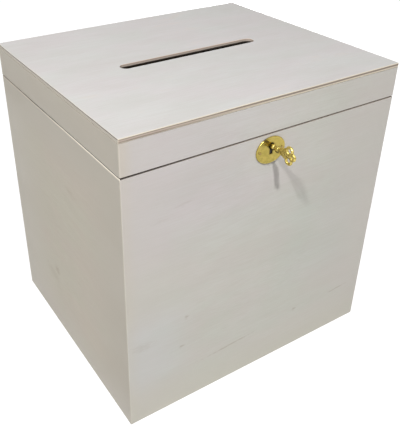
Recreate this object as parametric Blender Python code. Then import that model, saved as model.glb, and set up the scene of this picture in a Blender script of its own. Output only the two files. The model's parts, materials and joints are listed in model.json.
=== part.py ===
"""Lockable envelope box of pale wood, with a posting slot in its hinged lid and a small key lock.

Metres, +Z up. The origin is the centre of the box's underside. The lock is at the front (-Y) and
the hinges are at the back (+Y). The lid is closed, the bolt is drawn back and the key stands upright.
"""

import math

import bmesh
import bpy
from mathutils import Matrix, Vector

# Wooden box
BOX_WIDTH = 0.290
BOX_DEPTH = 0.250
BODY_HEIGHT = 0.267
LID_HEIGHT = 0.032
SEAM_GAP = 0.001
WALL = 0.008
TOP_SHEET = 0.004
BOTTOM_SHEET = 0.004
BOTTOM_REBATE = 0.004
SLOT_LENGTH = 0.150
SLOT_WIDTH = 0.012

# Gaps: a glued joint, two seated pieces, two pieces that slide on each other
GLUE = 0.0002
FIT = 0.0003
RUN = 0.0004

# Hinges
HINGE_SPREAD = 0.170
HINGE_LENGTH = 0.030
LEAF_DEPTH = 0.0072
LEAF_THICKNESS = 0.0008
LEAF_GAP = 0.0004
KNUCKLE_RADIUS = 0.0020
HINGE_PIN_RADIUS = 0.0010
PIN_CLEARANCE = 0.0001
HINGE_SCREW_SPREAD = 0.019

# Countersunk hinge screws
FLAT_HEAD_RADIUS = 0.0017
FLAT_SHANK_RADIUS = 0.0009
FLAT_SCREW_LENGTH = 0.0085
FLAT_HEAD_SINK = 0.00004

# Round-headed screws of the lock and its strike
ROUND_HEAD_RADIUS = 0.0018
ROUND_HEAD_HEIGHT = 0.0012
ROUND_SHANK_RADIUS = 0.0009
WOOD_BITE = 0.0050
SCREW_POINT = 0.0015
DRIVER_SLOT_WIDTH = 0.0005
DRIVER_SLOT_DEPTH = 0.00045

# Escutcheon and its two pins
ESCUTCHEON_WIDTH = 0.031
ESCUTCHEON_HEIGHT = 0.025
ESCUTCHEON_THICKNESS = 0.0014
ESCUTCHEON_EDGE = 0.0009
ESCUTCHEON_DROP = 0.00425
ESCUTCHEON_PIN_SPREAD = 0.024
ESCUTCHEON_PIN_RADIUS = 0.0006
ESCUTCHEON_PIN_HEAD = 0.0011
ESCUTCHEON_PIN_DOME = 0.0005
ESCUTCHEON_PIN_LENGTH = 0.0060

# Where the lock sits: across the front, and down from the body's rim
LOCK_OFFSET = -0.0025
KEY_DROP = 0.0105

# Key
KEY_SHANK_RADIUS = 0.0019
KEY_NECK_RADIUS = 0.0016
KEY_COLLAR_RADIUS = 0.0029
KEY_COLLAR_LENGTH = 0.0026
KEY_COLLAR_OUT = 0.0088
BIT_REACH = 0.0069
BIT_THICKNESS = 0.0017
BIT_LENGTH = 0.0045
BIT_WARD_WIDTH = 0.0009
BIT_WARD_DEPTH = 0.0022
KEY_TIP = 0.0003
BOW_WIRE_RADIUS = 0.0012
BOW_LOOP_RADIUS = 0.0031
BOW_LOOP_OUT = 0.0234
BOW_LOOP_SPREAD = 0.0043
BOW_NOSE_RADIUS = 0.0023
BOW_NOSE_OUT = 0.0277
BOW_WEB_THICKNESS = 0.0020
BOW_WEB_NARROW = 0.0026
BOW_WEB_WIDE = 0.0056

# Keyhole round the key
KEYHOLE_HEAD_GAP = 0.0009
KEYHOLE_SLOT_GAP = 0.0006
KEYHOLE_FOOT_GAP = 0.0006

# Lock
LOCK_SHEET = 0.0010
LOCK_FLANGE = 0.0060
LOCK_SCREW_INSET = 0.0042
BIT_SETBACK = 0.0008
BARREL_RADIUS = 0.0034
BARREL_END = 0.0010
BARREL_LIP = 0.0002
JOURNAL_RADIUS = 0.0022
JOURNAL_PROUD = 0.0005
BOLT_THICKNESS = 0.0020
BOLT_BAR = 0.0020
BOLT_WEB = 0.0024
BOLT_THROW = 0.0045
FINGER_RISE = 0.0029
FINGER_HEIGHT = 0.0032
BIT_SWEEP_GAP = 0.0007
SPRING_THICKNESS = 0.0004
SPRING_WIDTH = 0.0018
SPRING_LENGTH = 0.0140

# Strike on the lid
STRIKE_SHEET = 0.0012
STRIKE_RISE = 0.0020
STRIKE_HEIGHT = 0.0120
STRIKE_CHAMFER = 0.0040
HOOK_FRONT_BAR = 0.0010
HOOK_BACK_BAR = 0.0012
HOOK_FOOT = 0.0015
STRIKE_SCREW_SPREAD = 0.0120

# Sides of round pieces
FINE_SIDES = 64
ROUND_SIDES = 24
SMALL_SIDES = 16
LOOP_SIDES = 20
WIRE_SIDES = 8
CUTTER_REACH = 0.002
AXIS_MARK = 0.01

# Levels and planes of the wooden box
LID_BOTTOM = BODY_HEIGHT + SEAM_GAP
BOX_HEIGHT = LID_BOTTOM + LID_HEIGHT
FRONT = -BOX_DEPTH / 2
BACK = BOX_DEPTH / 2
RAIL_TOP = BOX_HEIGHT - TOP_SHEET - GLUE

# Hinge axis: behind the back face, level with the middle of the seam
HINGE_AXIS = Vector((0.0, BACK + KNUCKLE_RADIUS + FIT, BODY_HEIGHT + SEAM_GAP / 2))

# The lock's own frame: x across, y inwards from the front wall's inner face, z up from the key's axis
LOCK_PLACE = Vector((LOCK_OFFSET, FRONT + WALL, BODY_HEIGHT - KEY_DROP))
FACE_OUT = -WALL

# Depths in the lock's frame, from the front wall's inner face inwards
PLATE_NEAR = FIT
PLATE_FAR = PLATE_NEAR + LOCK_SHEET
CASE_NEAR = PLATE_FAR + FIT
FLANGE_FAR = CASE_NEAR + LOCK_SHEET
BIT_NEAR = PLATE_FAR + BIT_SETBACK
BIT_FAR = BIT_NEAR + BIT_LENGTH
BARREL_NEAR = PLATE_FAR + RUN
BARREL_FLOOR = BIT_FAR + KEY_TIP + FIT
BARREL_FAR = BARREL_FLOOR + BARREL_END
CASE_FLOOR = BARREL_FAR + RUN
CASE_FAR = CASE_FLOOR + LOCK_SHEET
BOLT_NEAR = (BIT_NEAR + BIT_FAR - BOLT_THICKNESS) / 2
BOLT_FAR = BOLT_NEAR + BOLT_THICKNESS
HOOK_NEAR = BOLT_NEAR - RUN - HOOK_FRONT_BAR
HOOK_FAR = BOLT_FAR + RUN + HOOK_BACK_BAR

# Distances across, from the key's axis: the bolt clears the barrel and the turning bit
BIT_SWEEP = math.hypot(BIT_REACH, BIT_THICKNESS / 2)
BAR_NEAR = max(BARREL_RADIUS, BIT_SWEEP - 0.75 * BOLT_THROW) + RUN
BAR_FAR = BAR_NEAR + BOLT_BAR
HOOK_INSIDE = BAR_FAR + BOLT_THROW + RUN
HOOK_OUTSIDE = HOOK_INSIDE + STRIKE_SHEET
RIGHT_TIP = HOOK_INSIDE - RUN
LEFT_TIP = -HOOK_OUTSIDE - RUN
LEFT_BAR_NEAR = LEFT_TIP - BOLT_THROW - RUN
LEFT_BAR_FAR = LEFT_BAR_NEAR - BOLT_BAR
CASE_HALF = RUN - LEFT_BAR_FAR + LOCK_SHEET
FLANGE_HALF = CASE_HALF + LOCK_FLANGE

# Heights from the key's axis
WEB_TOP = -BIT_REACH - BIT_SWEEP_GAP
WEB_BOTTOM = WEB_TOP - BOLT_WEB
FINGER_TOP = FINGER_RISE + FINGER_HEIGHT
CASE_BOTTOM = WEB_BOTTOM - FIT - LOCK_SHEET
CASE_TOP = KEY_DROP - FIT
HOOK_BOTTOM = FINGER_RISE - RUN - HOOK_FOOT
STRIKE_BOTTOM = KEY_DROP + SEAM_GAP + STRIKE_RISE
STRIKE_TOP = STRIKE_BOTTOM + STRIKE_HEIGHT

# How the escutcheon's edge rounds over: share of its width drawn in, share of its thickness
ESCUTCHEON_SECTION = ((0.0, 0.0), (0.0, 0.45), (0.25, 0.75), (1.0, 1.0))


def clear_scene():
    """Take out whatever the scene holds at the start."""
    for thing in list(bpy.data.objects):
        bpy.data.objects.remove(thing)


def make_material(name, colour, roughness, metallic):
    """A plain finish with its colour, roughness and metallic value."""
    material = bpy.data.materials.new(name)
    material.use_nodes = True
    shader = material.node_tree.nodes["Principled BSDF"]
    shader.inputs["Base Color"].default_value = (*colour, 1.0)
    shader.inputs["Roughness"].default_value = roughness
    shader.inputs["Metallic"].default_value = metallic
    return material


def loft(rings):
    """Join rings of points into a closed skin; a ring of one point closes an end as a tip."""
    shape = bmesh.new()
    made = [[shape.verts.new(point) for point in ring] for ring in rings]
    count = max(len(ring) for ring in made)
    for near, far in zip(made, made[1:]):
        for i in range(count):
            j = (i + 1) % count
            corners = (near[i % len(near)], near[j % len(near)], far[j % len(far)], far[i % len(far)])
            shape.faces.new(dict.fromkeys(corners))
    for ring in (made[0], made[-1]):
        if len(ring) > 1:
            shape.faces.new(ring)
    return shape


def in_plane(plane, u, v, level):
    """The point (u, v) of a plane, at a level along the third axis."""
    if plane == "XY":
        return (u, v, level)
    if plane == "XZ":
        return (u, level, v)
    return (level, u, v)


def prism(outline, near, far, plane):
    """Carry an outline, drawn in the plane XY, XZ or YZ, from near to far along the third axis."""
    return loft([[in_plane(plane, u, v, level) for u, v in outline] for level in (near, far)])


def lathe(profile, sides):
    """Turn a profile of (radius, height) points about Z; a point on the axis closes an end."""
    rings = []
    for radius, height in profile:
        if radius == 0.0:
            rings.append([(0.0, 0.0, height)])
        else:
            rings.append([(x, y, height) for x, y in arc(radius, 0.0, 360.0, sides)[:-1]])
    return loft(rings)


def arc(radius, start, end, steps, centre=(0.0, 0.0)):
    """Points along a circular arc from start to end, in degrees, both ends included."""
    points = []
    for i in range(steps + 1):
        angle = math.radians(start + (end - start) * i / steps)
        points.append((centre[0] + radius * math.cos(angle), centre[1] + radius * math.sin(angle)))
    return points


def circle(radius, sides):
    """The corners of a many-sided circle round the origin."""
    return arc(radius, 0.0, 360.0, sides)[:-1]


def rectangle(left, bottom, right, top):
    """The four corners of a rectangle."""
    return [(left, bottom), (right, bottom), (right, top), (left, top)]


def moved(shape, matrix):
    """The shape carried to another place."""
    bmesh.ops.transform(shape, matrix=matrix, verts=shape.verts)
    return shape


def together(shapes):
    """Several separate shapes as one, so that one cutter makes a whole pattern of holes."""
    whole = bmesh.new()
    for shape in shapes:
        passing = bpy.data.meshes.new("passing")
        shape.to_mesh(passing)
        shape.free()
        whole.from_mesh(passing)
        bpy.data.meshes.remove(passing)
    return whole


def make_object(name, shape, place=(0.0, 0.0, 0.0), material=None, smooth=False):
    """Turn a shape into a named object with its faces turned outwards."""
    bmesh.ops.recalc_face_normals(shape, faces=shape.faces)
    mesh = bpy.data.meshes.new(name)
    shape.to_mesh(mesh)
    shape.free()
    if smooth:
        mesh.shade_smooth()
        mesh.set_sharp_from_angle(angle=math.radians(35.0))
    if material:
        mesh.materials.append(material)
    piece = bpy.data.objects.new(name, mesh)
    piece.location = place
    bpy.context.scene.collection.objects.link(piece)
    return piece


def make_tool(name, shape, place=(0.0, 0.0, 0.0)):
    """A shape that only cuts or adds to other pieces, and isn't a piece itself."""
    tool = make_object(name, shape, place)
    tool.hide_render = True
    tool.display_type = "WIRE"
    return tool


def combine(piece, tool, operation):
    """Cut the tool's shape out of the piece, or add it to the piece."""
    boolean = piece.modifiers.new(tool.name, "BOOLEAN")
    boolean.operation = operation
    boolean.object = tool
    boolean.solver = "EXACT"


def hang_on(axis, pieces):
    """Parent pieces to the empty on their joint's axis, and leave them where they are."""
    for piece in pieces:
        piece.parent = axis
        piece.matrix_parent_inverse = Matrix.Translation(axis.location).inverted()


def make_axis(name, place, parent=None):
    """An empty on a joint's axis."""
    axis = bpy.data.objects.new(name, None)
    axis.empty_display_size = AXIS_MARK
    axis.location = place
    bpy.context.scene.collection.objects.link(axis)
    if parent:
        hang_on(parent, [axis])
    return axis


def mitred_board(profile, length):
    """A board with a cross-section of (depth, height) points, both ends cut at 45 degrees.

    It runs along X, with its outer face on y = 0 and its thickness towards +Y.
    """
    shorter = GLUE * math.sqrt(0.5)
    rings = []
    for side in (-1, 1):
        rings.append([(side * (length / 2 - depth - shorter), depth, height) for depth, height in profile])
    return loft(rings)


def frame_of_boards(names, profile, material):
    """Four mitred boards round the box: front, right, back and left."""
    boards = []
    for quarter, name in enumerate(names):
        faces_x = quarter % 2 == 1
        length = BOX_DEPTH if faces_x else BOX_WIDTH
        reach = (BOX_WIDTH if faces_x else BOX_DEPTH) / 2
        turn = Matrix.Rotation(math.radians(90.0 * quarter), 3, "Z")
        board = make_object(name, mitred_board(profile, length), turn @ Vector((0.0, -reach, 0.0)), material)
        board.rotation_euler = turn.to_euler()
        boards.append(board)
    return boards


def make_body(wood):
    """Four walls, with a rebate round their inner foot that the bottom panel sits in."""
    tongue = WALL - BOTTOM_REBATE
    shoulder = BOTTOM_SHEET + GLUE
    profile = [
        (0.0, 0.0),
        (tongue, 0.0),
        (tongue, shoulder),
        (WALL, shoulder),
        (WALL, BODY_HEIGHT),
        (0.0, BODY_HEIGHT),
    ]
    walls = frame_of_boards(("front_panel", "right_panel", "back_panel", "left_panel"), profile, wood)
    half_width = BOX_WIDTH / 2 - tongue - GLUE
    half_depth = BOX_DEPTH / 2 - tongue - GLUE
    outline = rectangle(-half_width, -half_depth, half_width, half_depth)
    make_object("bottom_panel", prism(outline, 0.0, BOTTOM_SHEET, "XY"), material=wood)
    return walls


def slot_outline():
    """The posting slot: straight sides and fully round ends."""
    radius = SLOT_WIDTH / 2
    run = SLOT_LENGTH / 2 - radius
    right_end = arc(radius, -90.0, 90.0, SMALL_SIDES, (run, 0.0))
    left_end = arc(radius, 90.0, 270.0, SMALL_SIDES, (-run, 0.0))
    return right_end + left_end


def make_lid(wood, sheet):
    """Four rails and, glued on them, the top panel with the posting slot."""
    profile = rectangle(0.0, LID_BOTTOM, WALL, RAIL_TOP)
    names = ("lid_front_rail", "lid_right_rail", "lid_back_rail", "lid_left_rail")
    rails = frame_of_boards(names, profile, wood)
    outline = rectangle(-BOX_WIDTH / 2, FRONT, BOX_WIDTH / 2, BACK)
    top = make_object("lid_top_panel", prism(outline, RAIL_TOP + GLUE, BOX_HEIGHT, "XY"), material=sheet)
    low = RAIL_TOP - CUTTER_REACH
    high = BOX_HEIGHT + CUTTER_REACH
    combine(top, make_tool("cut_posting_slot", prism(slot_outline(), low, high, "XY")), "DIFFERENCE")
    return rails, top


def flat_screw_profile():
    """A countersunk wood screw: the head's flat top is at height 0, and the point is below."""
    return [
        (0.0, 0.0),
        (FLAT_HEAD_RADIUS, 0.0),
        (FLAT_SHANK_RADIUS, -LEAF_THICKNESS),
        (FLAT_SHANK_RADIUS, SCREW_POINT - FLAT_SCREW_LENGTH),
        (0.0, -FLAT_SCREW_LENGTH),
    ]


def flat_screw_hole():
    """The hole that a countersunk screw sits in, open above its head."""
    return [
        (0.0, CUTTER_REACH),
        (FLAT_HEAD_RADIUS + FIT, CUTTER_REACH),
        (FLAT_HEAD_RADIUS + FIT, 0.0),
        (FLAT_SHANK_RADIUS + FIT, -LEAF_THICKNESS),
        (FLAT_SHANK_RADIUS + FIT, -FLAT_SCREW_LENGTH - FIT),
        (0.0, -FLAT_SCREW_LENGTH - FIT),
    ]


def round_screw_profile(length):
    """A round-headed wood screw: the head's underside is at height 0, and the point is below."""
    return [
        (0.0, ROUND_HEAD_HEIGHT),
        (0.50 * ROUND_HEAD_RADIUS, 0.92 * ROUND_HEAD_HEIGHT),
        (0.85 * ROUND_HEAD_RADIUS, 0.60 * ROUND_HEAD_HEIGHT),
        (ROUND_HEAD_RADIUS, 0.0),
        (ROUND_SHANK_RADIUS, 0.0),
        (ROUND_SHANK_RADIUS, SCREW_POINT - length),
        (0.0, -length),
    ]


def shank_hole(radius, length):
    """A straight hole round a shank whose head stays outside."""
    return [
        (0.0, CUTTER_REACH),
        (radius + FIT, CUTTER_REACH),
        (radius + FIT, -length - FIT),
        (0.0, -length - FIT),
    ]


def slotted_screw_mesh(name, profile, top, width, material):
    """One screw's mesh, with the driver slot across its head; every screw of the kind shares it."""
    master = make_object(name, lathe(profile, SMALL_SIDES), material=material, smooth=True)
    slot = rectangle(-width, top - DRIVER_SLOT_DEPTH, width, top + CUTTER_REACH)
    half = DRIVER_SLOT_WIDTH / 2
    tool = make_tool(f"cut_{name}_slot", prism(slot, -half, half, "XZ"))
    combine(master, tool, "DIFFERENCE")
    bpy.context.view_layer.update()
    graph = bpy.context.evaluated_depsgraph_get()
    mesh = bpy.data.meshes.new_from_object(master.evaluated_get(graph))
    bpy.data.objects.remove(master)
    bpy.data.objects.remove(tool)
    return mesh


def place_copy(name, mesh, place, turn):
    """One more object with a shared mesh, turned about X and set in its place."""
    piece = bpy.data.objects.new(name, mesh)
    piece.location = place
    piece.rotation_euler = (math.radians(turn), 0.0, 0.0)
    bpy.context.scene.collection.objects.link(piece)
    return piece


def holes(profile, places, turn):
    """The same turned hole at several places."""
    rotation = Matrix.Rotation(math.radians(turn), 4, "X")
    return together([moved(lathe(profile, SMALL_SIDES), Matrix.Translation(p) @ rotation) for p in places])


def knuckle_spans():
    """The body leaf's two outer knuckles and the lid leaf's middle one, along the hinge."""
    knuckle = (HINGE_LENGTH - 2 * RUN) / 3
    edge = HINGE_LENGTH / 2
    middle = knuckle / 2
    return [(-edge, knuckle - edge), (edge - knuckle, edge)], [(-middle, middle)]


def make_leaf(name, place, spans, upwards, brass):
    """A hinge leaf: a plate let into the seam, with tabs that roll into its knuckles.

    Its own frame has the hinge axis along X. A leaf that isn't upwards lies below the axis.
    """
    edge = HINGE_LENGTH / 2
    inner = -KNUCKLE_RADIUS - FIT
    tab = -(KNUCKLE_RADIUS + HINGE_PIN_RADIUS + PIN_CLEARANCE) / 2
    outline = [(edge, inner - LEAF_DEPTH), (-edge, inner - LEAF_DEPTH)]
    if spans[0][0] > -edge:
        outline.append((-edge, inner))
    for left, right in spans:
        if left > -edge:
            outline.append((left, inner))
        outline += [(left, tab), (right, tab)]
        if right < edge:
            outline.append((right, inner))
    if spans[-1][1] < edge:
        outline.append((edge, inner))
    near = LEAF_GAP / 2
    far = near + LEAF_THICKNESS
    levels = (near, far) if upwards else (-far, -near)
    leaf = make_object(name, prism(outline, *levels, "XY"), place, brass, smooth=True)
    barrels = together([prism(circle(KNUCKLE_RADIUS, ROUND_SIDES), *span, "YZ") for span in spans])
    combine(leaf, make_tool(f"add_{name}_knuckles", barrels, place), "UNION")
    bore = circle(HINGE_PIN_RADIUS + PIN_CLEARANCE, ROUND_SIDES)
    reach = edge + CUTTER_REACH
    combine(leaf, make_tool(f"cut_{name}_bore", prism(bore, -reach, reach, "YZ"), place), "DIFFERENCE")
    return leaf


def leaf_recess(centres, upwards):
    """The shallow seats in a rim that the leaves lie in."""
    half = HINGE_LENGTH / 2 + FIT
    back = BACK + CUTTER_REACH
    front = BACK - LEAF_DEPTH - FIT
    middle = HINGE_AXIS.z
    depth = LEAF_GAP / 2 + LEAF_THICKNESS + FIT
    levels = (middle, middle + depth) if upwards else (middle - depth, middle)
    return together([prism(rectangle(x - half, front, x + half, back), *levels, "XY") for x in centres])


def make_hinges(brass, back_panel, back_rail, lid_axis):
    """Two butt hinges let into the seam at the back, each with its pin and four screws."""
    body_spans, lid_spans = knuckle_spans()
    centres = (-HINGE_SPREAD / 2, HINGE_SPREAD / 2)
    screw_y = BACK - LEAF_DEPTH / 2
    flat = slotted_screw_mesh("flat_screw", flat_screw_profile(), 0.0, 2 * FLAT_HEAD_RADIUS, brass)
    combine(back_panel, make_tool("cut_body_leaf_seats", leaf_recess(centres, False)), "DIFFERENCE")
    combine(back_rail, make_tool("cut_lid_leaf_seats", leaf_recess(centres, True)), "DIFFERENCE")
    seats = {False: [], True: []}
    leaves = {False: [], True: []}
    for side, x in zip(("left", "right"), centres):
        place = Vector((x, HINGE_AXIS.y, HINGE_AXIS.z))
        for upwards, spans, owner in ((False, body_spans, "body"), (True, lid_spans, "lid")):
            leaf = make_leaf(f"hinge_{side}_{owner}_leaf", place, spans, upwards, brass)
            leaves[upwards].append(leaf)
            head = LEAF_GAP / 2 + FLAT_HEAD_SINK
            level = HINGE_AXIS.z + (head if upwards else -head)
            for count, sign in ((1, -1), (2, 1)):
                spot = Vector((x + sign * HINGE_SCREW_SPREAD / 2, screw_y, level))
                name = f"hinge_{side}_{owner}_screw_{count}"
                screw = place_copy(name, flat, spot, 180.0 if upwards else 0.0)
                seats[upwards].append(spot)
                if upwards:
                    hang_on(lid_axis, [screw])
        pin_reach = HINGE_LENGTH / 2 + FIT
        pin = prism(circle(HINGE_PIN_RADIUS, ROUND_SIDES), -pin_reach, pin_reach, "YZ")
        make_object(f"hinge_{side}_pin", pin, place, brass, smooth=True)
    for upwards, wood, owner in ((False, back_panel, "body"), (True, back_rail, "lid")):
        turn = 180.0 if upwards else 0.0
        tool = make_tool(f"cut_{owner}_hinge_screws", holes(flat_screw_hole(), seats[upwards], turn))
        for piece in [wood] + leaves[upwards]:
            combine(piece, tool, "DIFFERENCE")
    hang_on(lid_axis, leaves[True])


def keyhole_outline():
    """A round head for the shank and a slot below it for the bit."""
    head = KEY_SHANK_RADIUS + KEYHOLE_HEAD_GAP
    half = BIT_THICKNESS / 2 + KEYHOLE_SLOT_GAP
    foot = -BIT_REACH - KEYHOLE_FOOT_GAP
    open_angle = math.degrees(math.asin(half / head))
    outline = arc(head, open_angle - 90.0, 270.0 - open_angle, SMALL_SIDES)
    return outline + [(-half, foot), (half, foot)]


def make_escutcheon(brass, front_panel):
    """The oval plate round the keyhole, its rounded edge, and the two pins that hold it."""
    back = FACE_OUT - FIT
    rings = []
    for inset, rise in ESCUTCHEON_SECTION:
        width = ESCUTCHEON_WIDTH / 2 - inset * ESCUTCHEON_EDGE
        height = ESCUTCHEON_HEIGHT / 2 - inset * ESCUTCHEON_EDGE
        depth = back - rise * ESCUTCHEON_THICKNESS
        rings.append([(width * x, depth, height * z - ESCUTCHEON_DROP) for x, z in circle(1.0, FINE_SIDES)])
    plate = make_object("escutcheon", loft(rings), LOCK_PLACE, brass, smooth=True)
    deep = PLATE_FAR + CUTTER_REACH
    shallow = FACE_OUT - FIT - ESCUTCHEON_THICKNESS - CUTTER_REACH
    keyhole = make_tool("cut_keyhole", prism(keyhole_outline(), shallow, deep, "XZ"), LOCK_PLACE)
    combine(plate, keyhole, "DIFFERENCE")
    combine(front_panel, keyhole, "DIFFERENCE")

    head_seat = back - ESCUTCHEON_THICKNESS - FIT
    profile = [
        (0.0, ESCUTCHEON_PIN_DOME),
        (0.55 * ESCUTCHEON_PIN_HEAD, 0.85 * ESCUTCHEON_PIN_DOME),
        (0.90 * ESCUTCHEON_PIN_HEAD, 0.45 * ESCUTCHEON_PIN_DOME),
        (ESCUTCHEON_PIN_HEAD, 0.0),
        (ESCUTCHEON_PIN_RADIUS, 0.0),
        (ESCUTCHEON_PIN_RADIUS, SCREW_POINT - ESCUTCHEON_PIN_LENGTH),
        (0.0, -ESCUTCHEON_PIN_LENGTH),
    ]
    places = []
    for side, sign in (("left", -1), ("right", 1)):
        spot = LOCK_PLACE + Vector((sign * ESCUTCHEON_PIN_SPREAD / 2, head_seat, -ESCUTCHEON_DROP))
        pin = make_object(f"escutcheon_pin_{side}", lathe(profile, SMALL_SIDES), spot, brass, smooth=True)
        pin.rotation_euler = (math.radians(90.0), 0.0, 0.0)
        places.append(spot)
    bores = holes(shank_hole(ESCUTCHEON_PIN_RADIUS, ESCUTCHEON_PIN_LENGTH), places, 90.0)
    tool = make_tool("cut_escutcheon_pins", bores)
    combine(plate, tool, "DIFFERENCE")
    combine(front_panel, tool, "DIFFERENCE")
    return keyhole


def make_case(steel):
    """The pressed case: a shallow tray that opens towards the wood, with a flange at each side."""
    outer = prism(rectangle(-CASE_HALF, CASE_BOTTOM, CASE_HALF, CASE_TOP), CASE_NEAR, CASE_FAR, "XZ")
    case = make_object("lock_case", outer, LOCK_PLACE, steel)
    flange = prism(rectangle(-FLANGE_HALF, CASE_BOTTOM, FLANGE_HALF, CASE_TOP), CASE_NEAR, FLANGE_FAR, "XZ")
    combine(case, make_tool("add_case_flange", flange, LOCK_PLACE), "UNION")
    inner = CASE_HALF - LOCK_SHEET
    floor = CASE_BOTTOM + LOCK_SHEET
    ceiling = CASE_TOP - LOCK_SHEET
    open_side = CASE_NEAR - CUTTER_REACH
    cavity = prism(rectangle(-inner, floor, inner, ceiling), open_side, CASE_FLOOR, "XZ")
    combine(case, make_tool("cut_case_cavity", cavity, LOCK_PLACE), "DIFFERENCE")
    openings = [prism(circle(JOURNAL_RADIUS + FIT, ROUND_SIDES), BARREL_FAR, CASE_FAR + CUTTER_REACH, "XZ")]
    for left, right in ((HOOK_INSIDE, HOOK_OUTSIDE), (-HOOK_OUTSIDE, -HOOK_INSIDE)):
        slot = rectangle(left - RUN, ceiling - RUN, right + RUN, CASE_TOP + CUTTER_REACH)
        openings.append(prism(slot, open_side, HOOK_FAR + RUN, "XZ"))
    combine(case, make_tool("cut_case_openings", together(openings), LOCK_PLACE), "DIFFERENCE")
    return case


def make_bolt(steel):
    """The sliding bolt: a web under the key's sweep, and two fingers that enter the strike's hooks."""
    outline = [
        (LEFT_BAR_FAR, WEB_BOTTOM),
        (BAR_FAR, WEB_BOTTOM),
        (BAR_FAR, FINGER_RISE),
        (RIGHT_TIP, FINGER_RISE),
        (RIGHT_TIP, FINGER_TOP),
        (BAR_NEAR, FINGER_TOP),
        (BAR_NEAR, WEB_TOP),
        (LEFT_BAR_NEAR, WEB_TOP),
        (LEFT_BAR_NEAR, FINGER_RISE),
        (LEFT_TIP, FINGER_RISE),
        (LEFT_TIP, FINGER_TOP),
        (LEFT_BAR_FAR, FINGER_TOP),
    ]
    return make_object("lock_bolt", prism(outline, BOLT_NEAR, BOLT_FAR, "XZ"), LOCK_PLACE, steel)


def make_barrel(steel):
    """The turning barrel: a sleeve slit for the bit, an end disc and a journal in the case's floor."""
    half = BIT_THICKNESS / 2 + FIT
    bore = KEY_SHANK_RADIUS + FIT
    outside = math.degrees(math.asin(half / BARREL_RADIUS))
    inside = math.degrees(math.asin(half / bore))
    outline = arc(BARREL_RADIUS, outside - 90.0, 270.0 - outside, ROUND_SIDES)
    outline += arc(bore, 270.0 - inside, inside - 90.0, ROUND_SIDES)
    overlap = BARREL_FLOOR + BARREL_END / 2
    sleeve = prism(outline, BARREL_NEAR, overlap, "XZ")
    barrel = make_object("lock_barrel", sleeve, LOCK_PLACE, steel, smooth=True)
    lip = BARREL_RADIUS + BARREL_LIP
    journal = CASE_FAR + JOURNAL_PROUD
    profile = [
        (0.0, -BARREL_FLOOR),
        (lip, -BARREL_FLOOR),
        (lip, -BARREL_FAR),
        (JOURNAL_RADIUS, -BARREL_FAR),
        (JOURNAL_RADIUS, -journal),
        (0.0, -journal),
    ]
    end = moved(lathe(profile, ROUND_SIDES), Matrix.Rotation(math.radians(90.0), 4, "X"))
    combine(barrel, make_tool("add_barrel_end", end, LOCK_PLACE), "UNION")
    return barrel


def make_spring(steel):
    """A bowed strip between the case's floor and the bolt's web, which keeps the bolt where it is."""
    feet = CASE_FLOOR - FIT
    crown = BOLT_FAR + FIT
    bow = feet - crown - SPRING_THICKNESS
    middle = (LEFT_BAR_FAR + BOLT_THROW + BAR_FAR) / 2
    near_side = []
    far_side = []
    for i in range(SMALL_SIDES + 1):
        share = i / SMALL_SIDES
        across = middle + (share - 0.5) * SPRING_LENGTH
        depth = feet - bow * (1 - math.cos(2 * math.pi * share)) / 2
        near_side.append((across, depth - SPRING_THICKNESS))
        far_side.append((across, depth))
    outline = near_side + far_side[::-1]
    centre = (WEB_TOP + WEB_BOTTOM) / 2
    strip = prism(outline, centre - SPRING_WIDTH / 2, centre + SPRING_WIDTH / 2, "XY")
    return make_object("lock_spring", strip, LOCK_PLACE, steel, smooth=True)


def make_lock(steel, brass, front_panel, keyhole):
    """Plate, case, bolt, spring, barrel and the four screws that hold the lock to the front wall."""
    outline = rectangle(-FLANGE_HALF, CASE_BOTTOM, FLANGE_HALF, CASE_TOP)
    plate = make_object("lock_plate", prism(outline, PLATE_NEAR, PLATE_FAR, "XZ"), LOCK_PLACE, steel)
    combine(plate, keyhole, "DIFFERENCE")
    case = make_case(steel)
    make_spring(steel)
    seat = FLANGE_FAR + FIT
    length = seat + WOOD_BITE
    top = ROUND_HEAD_HEIGHT
    mesh = slotted_screw_mesh("lock_screw", round_screw_profile(length), top, ROUND_HEAD_RADIUS, brass)
    x = CASE_HALF + LOCK_FLANGE / 2
    places = []
    for z in (CASE_BOTTOM + LOCK_SCREW_INSET, CASE_TOP - LOCK_SCREW_INSET):
        for across in (-x, x):
            spot = LOCK_PLACE + Vector((across, seat, z))
            place_copy(f"lock_screw_{len(places) + 1}", mesh, spot, -90.0)
            places.append(spot)
    tool = make_tool("cut_lock_screws", holes(shank_hole(ROUND_SHANK_RADIUS, length), places, -90.0))
    for piece in (plate, case, front_panel):
        combine(piece, tool, "DIFFERENCE")


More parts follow.
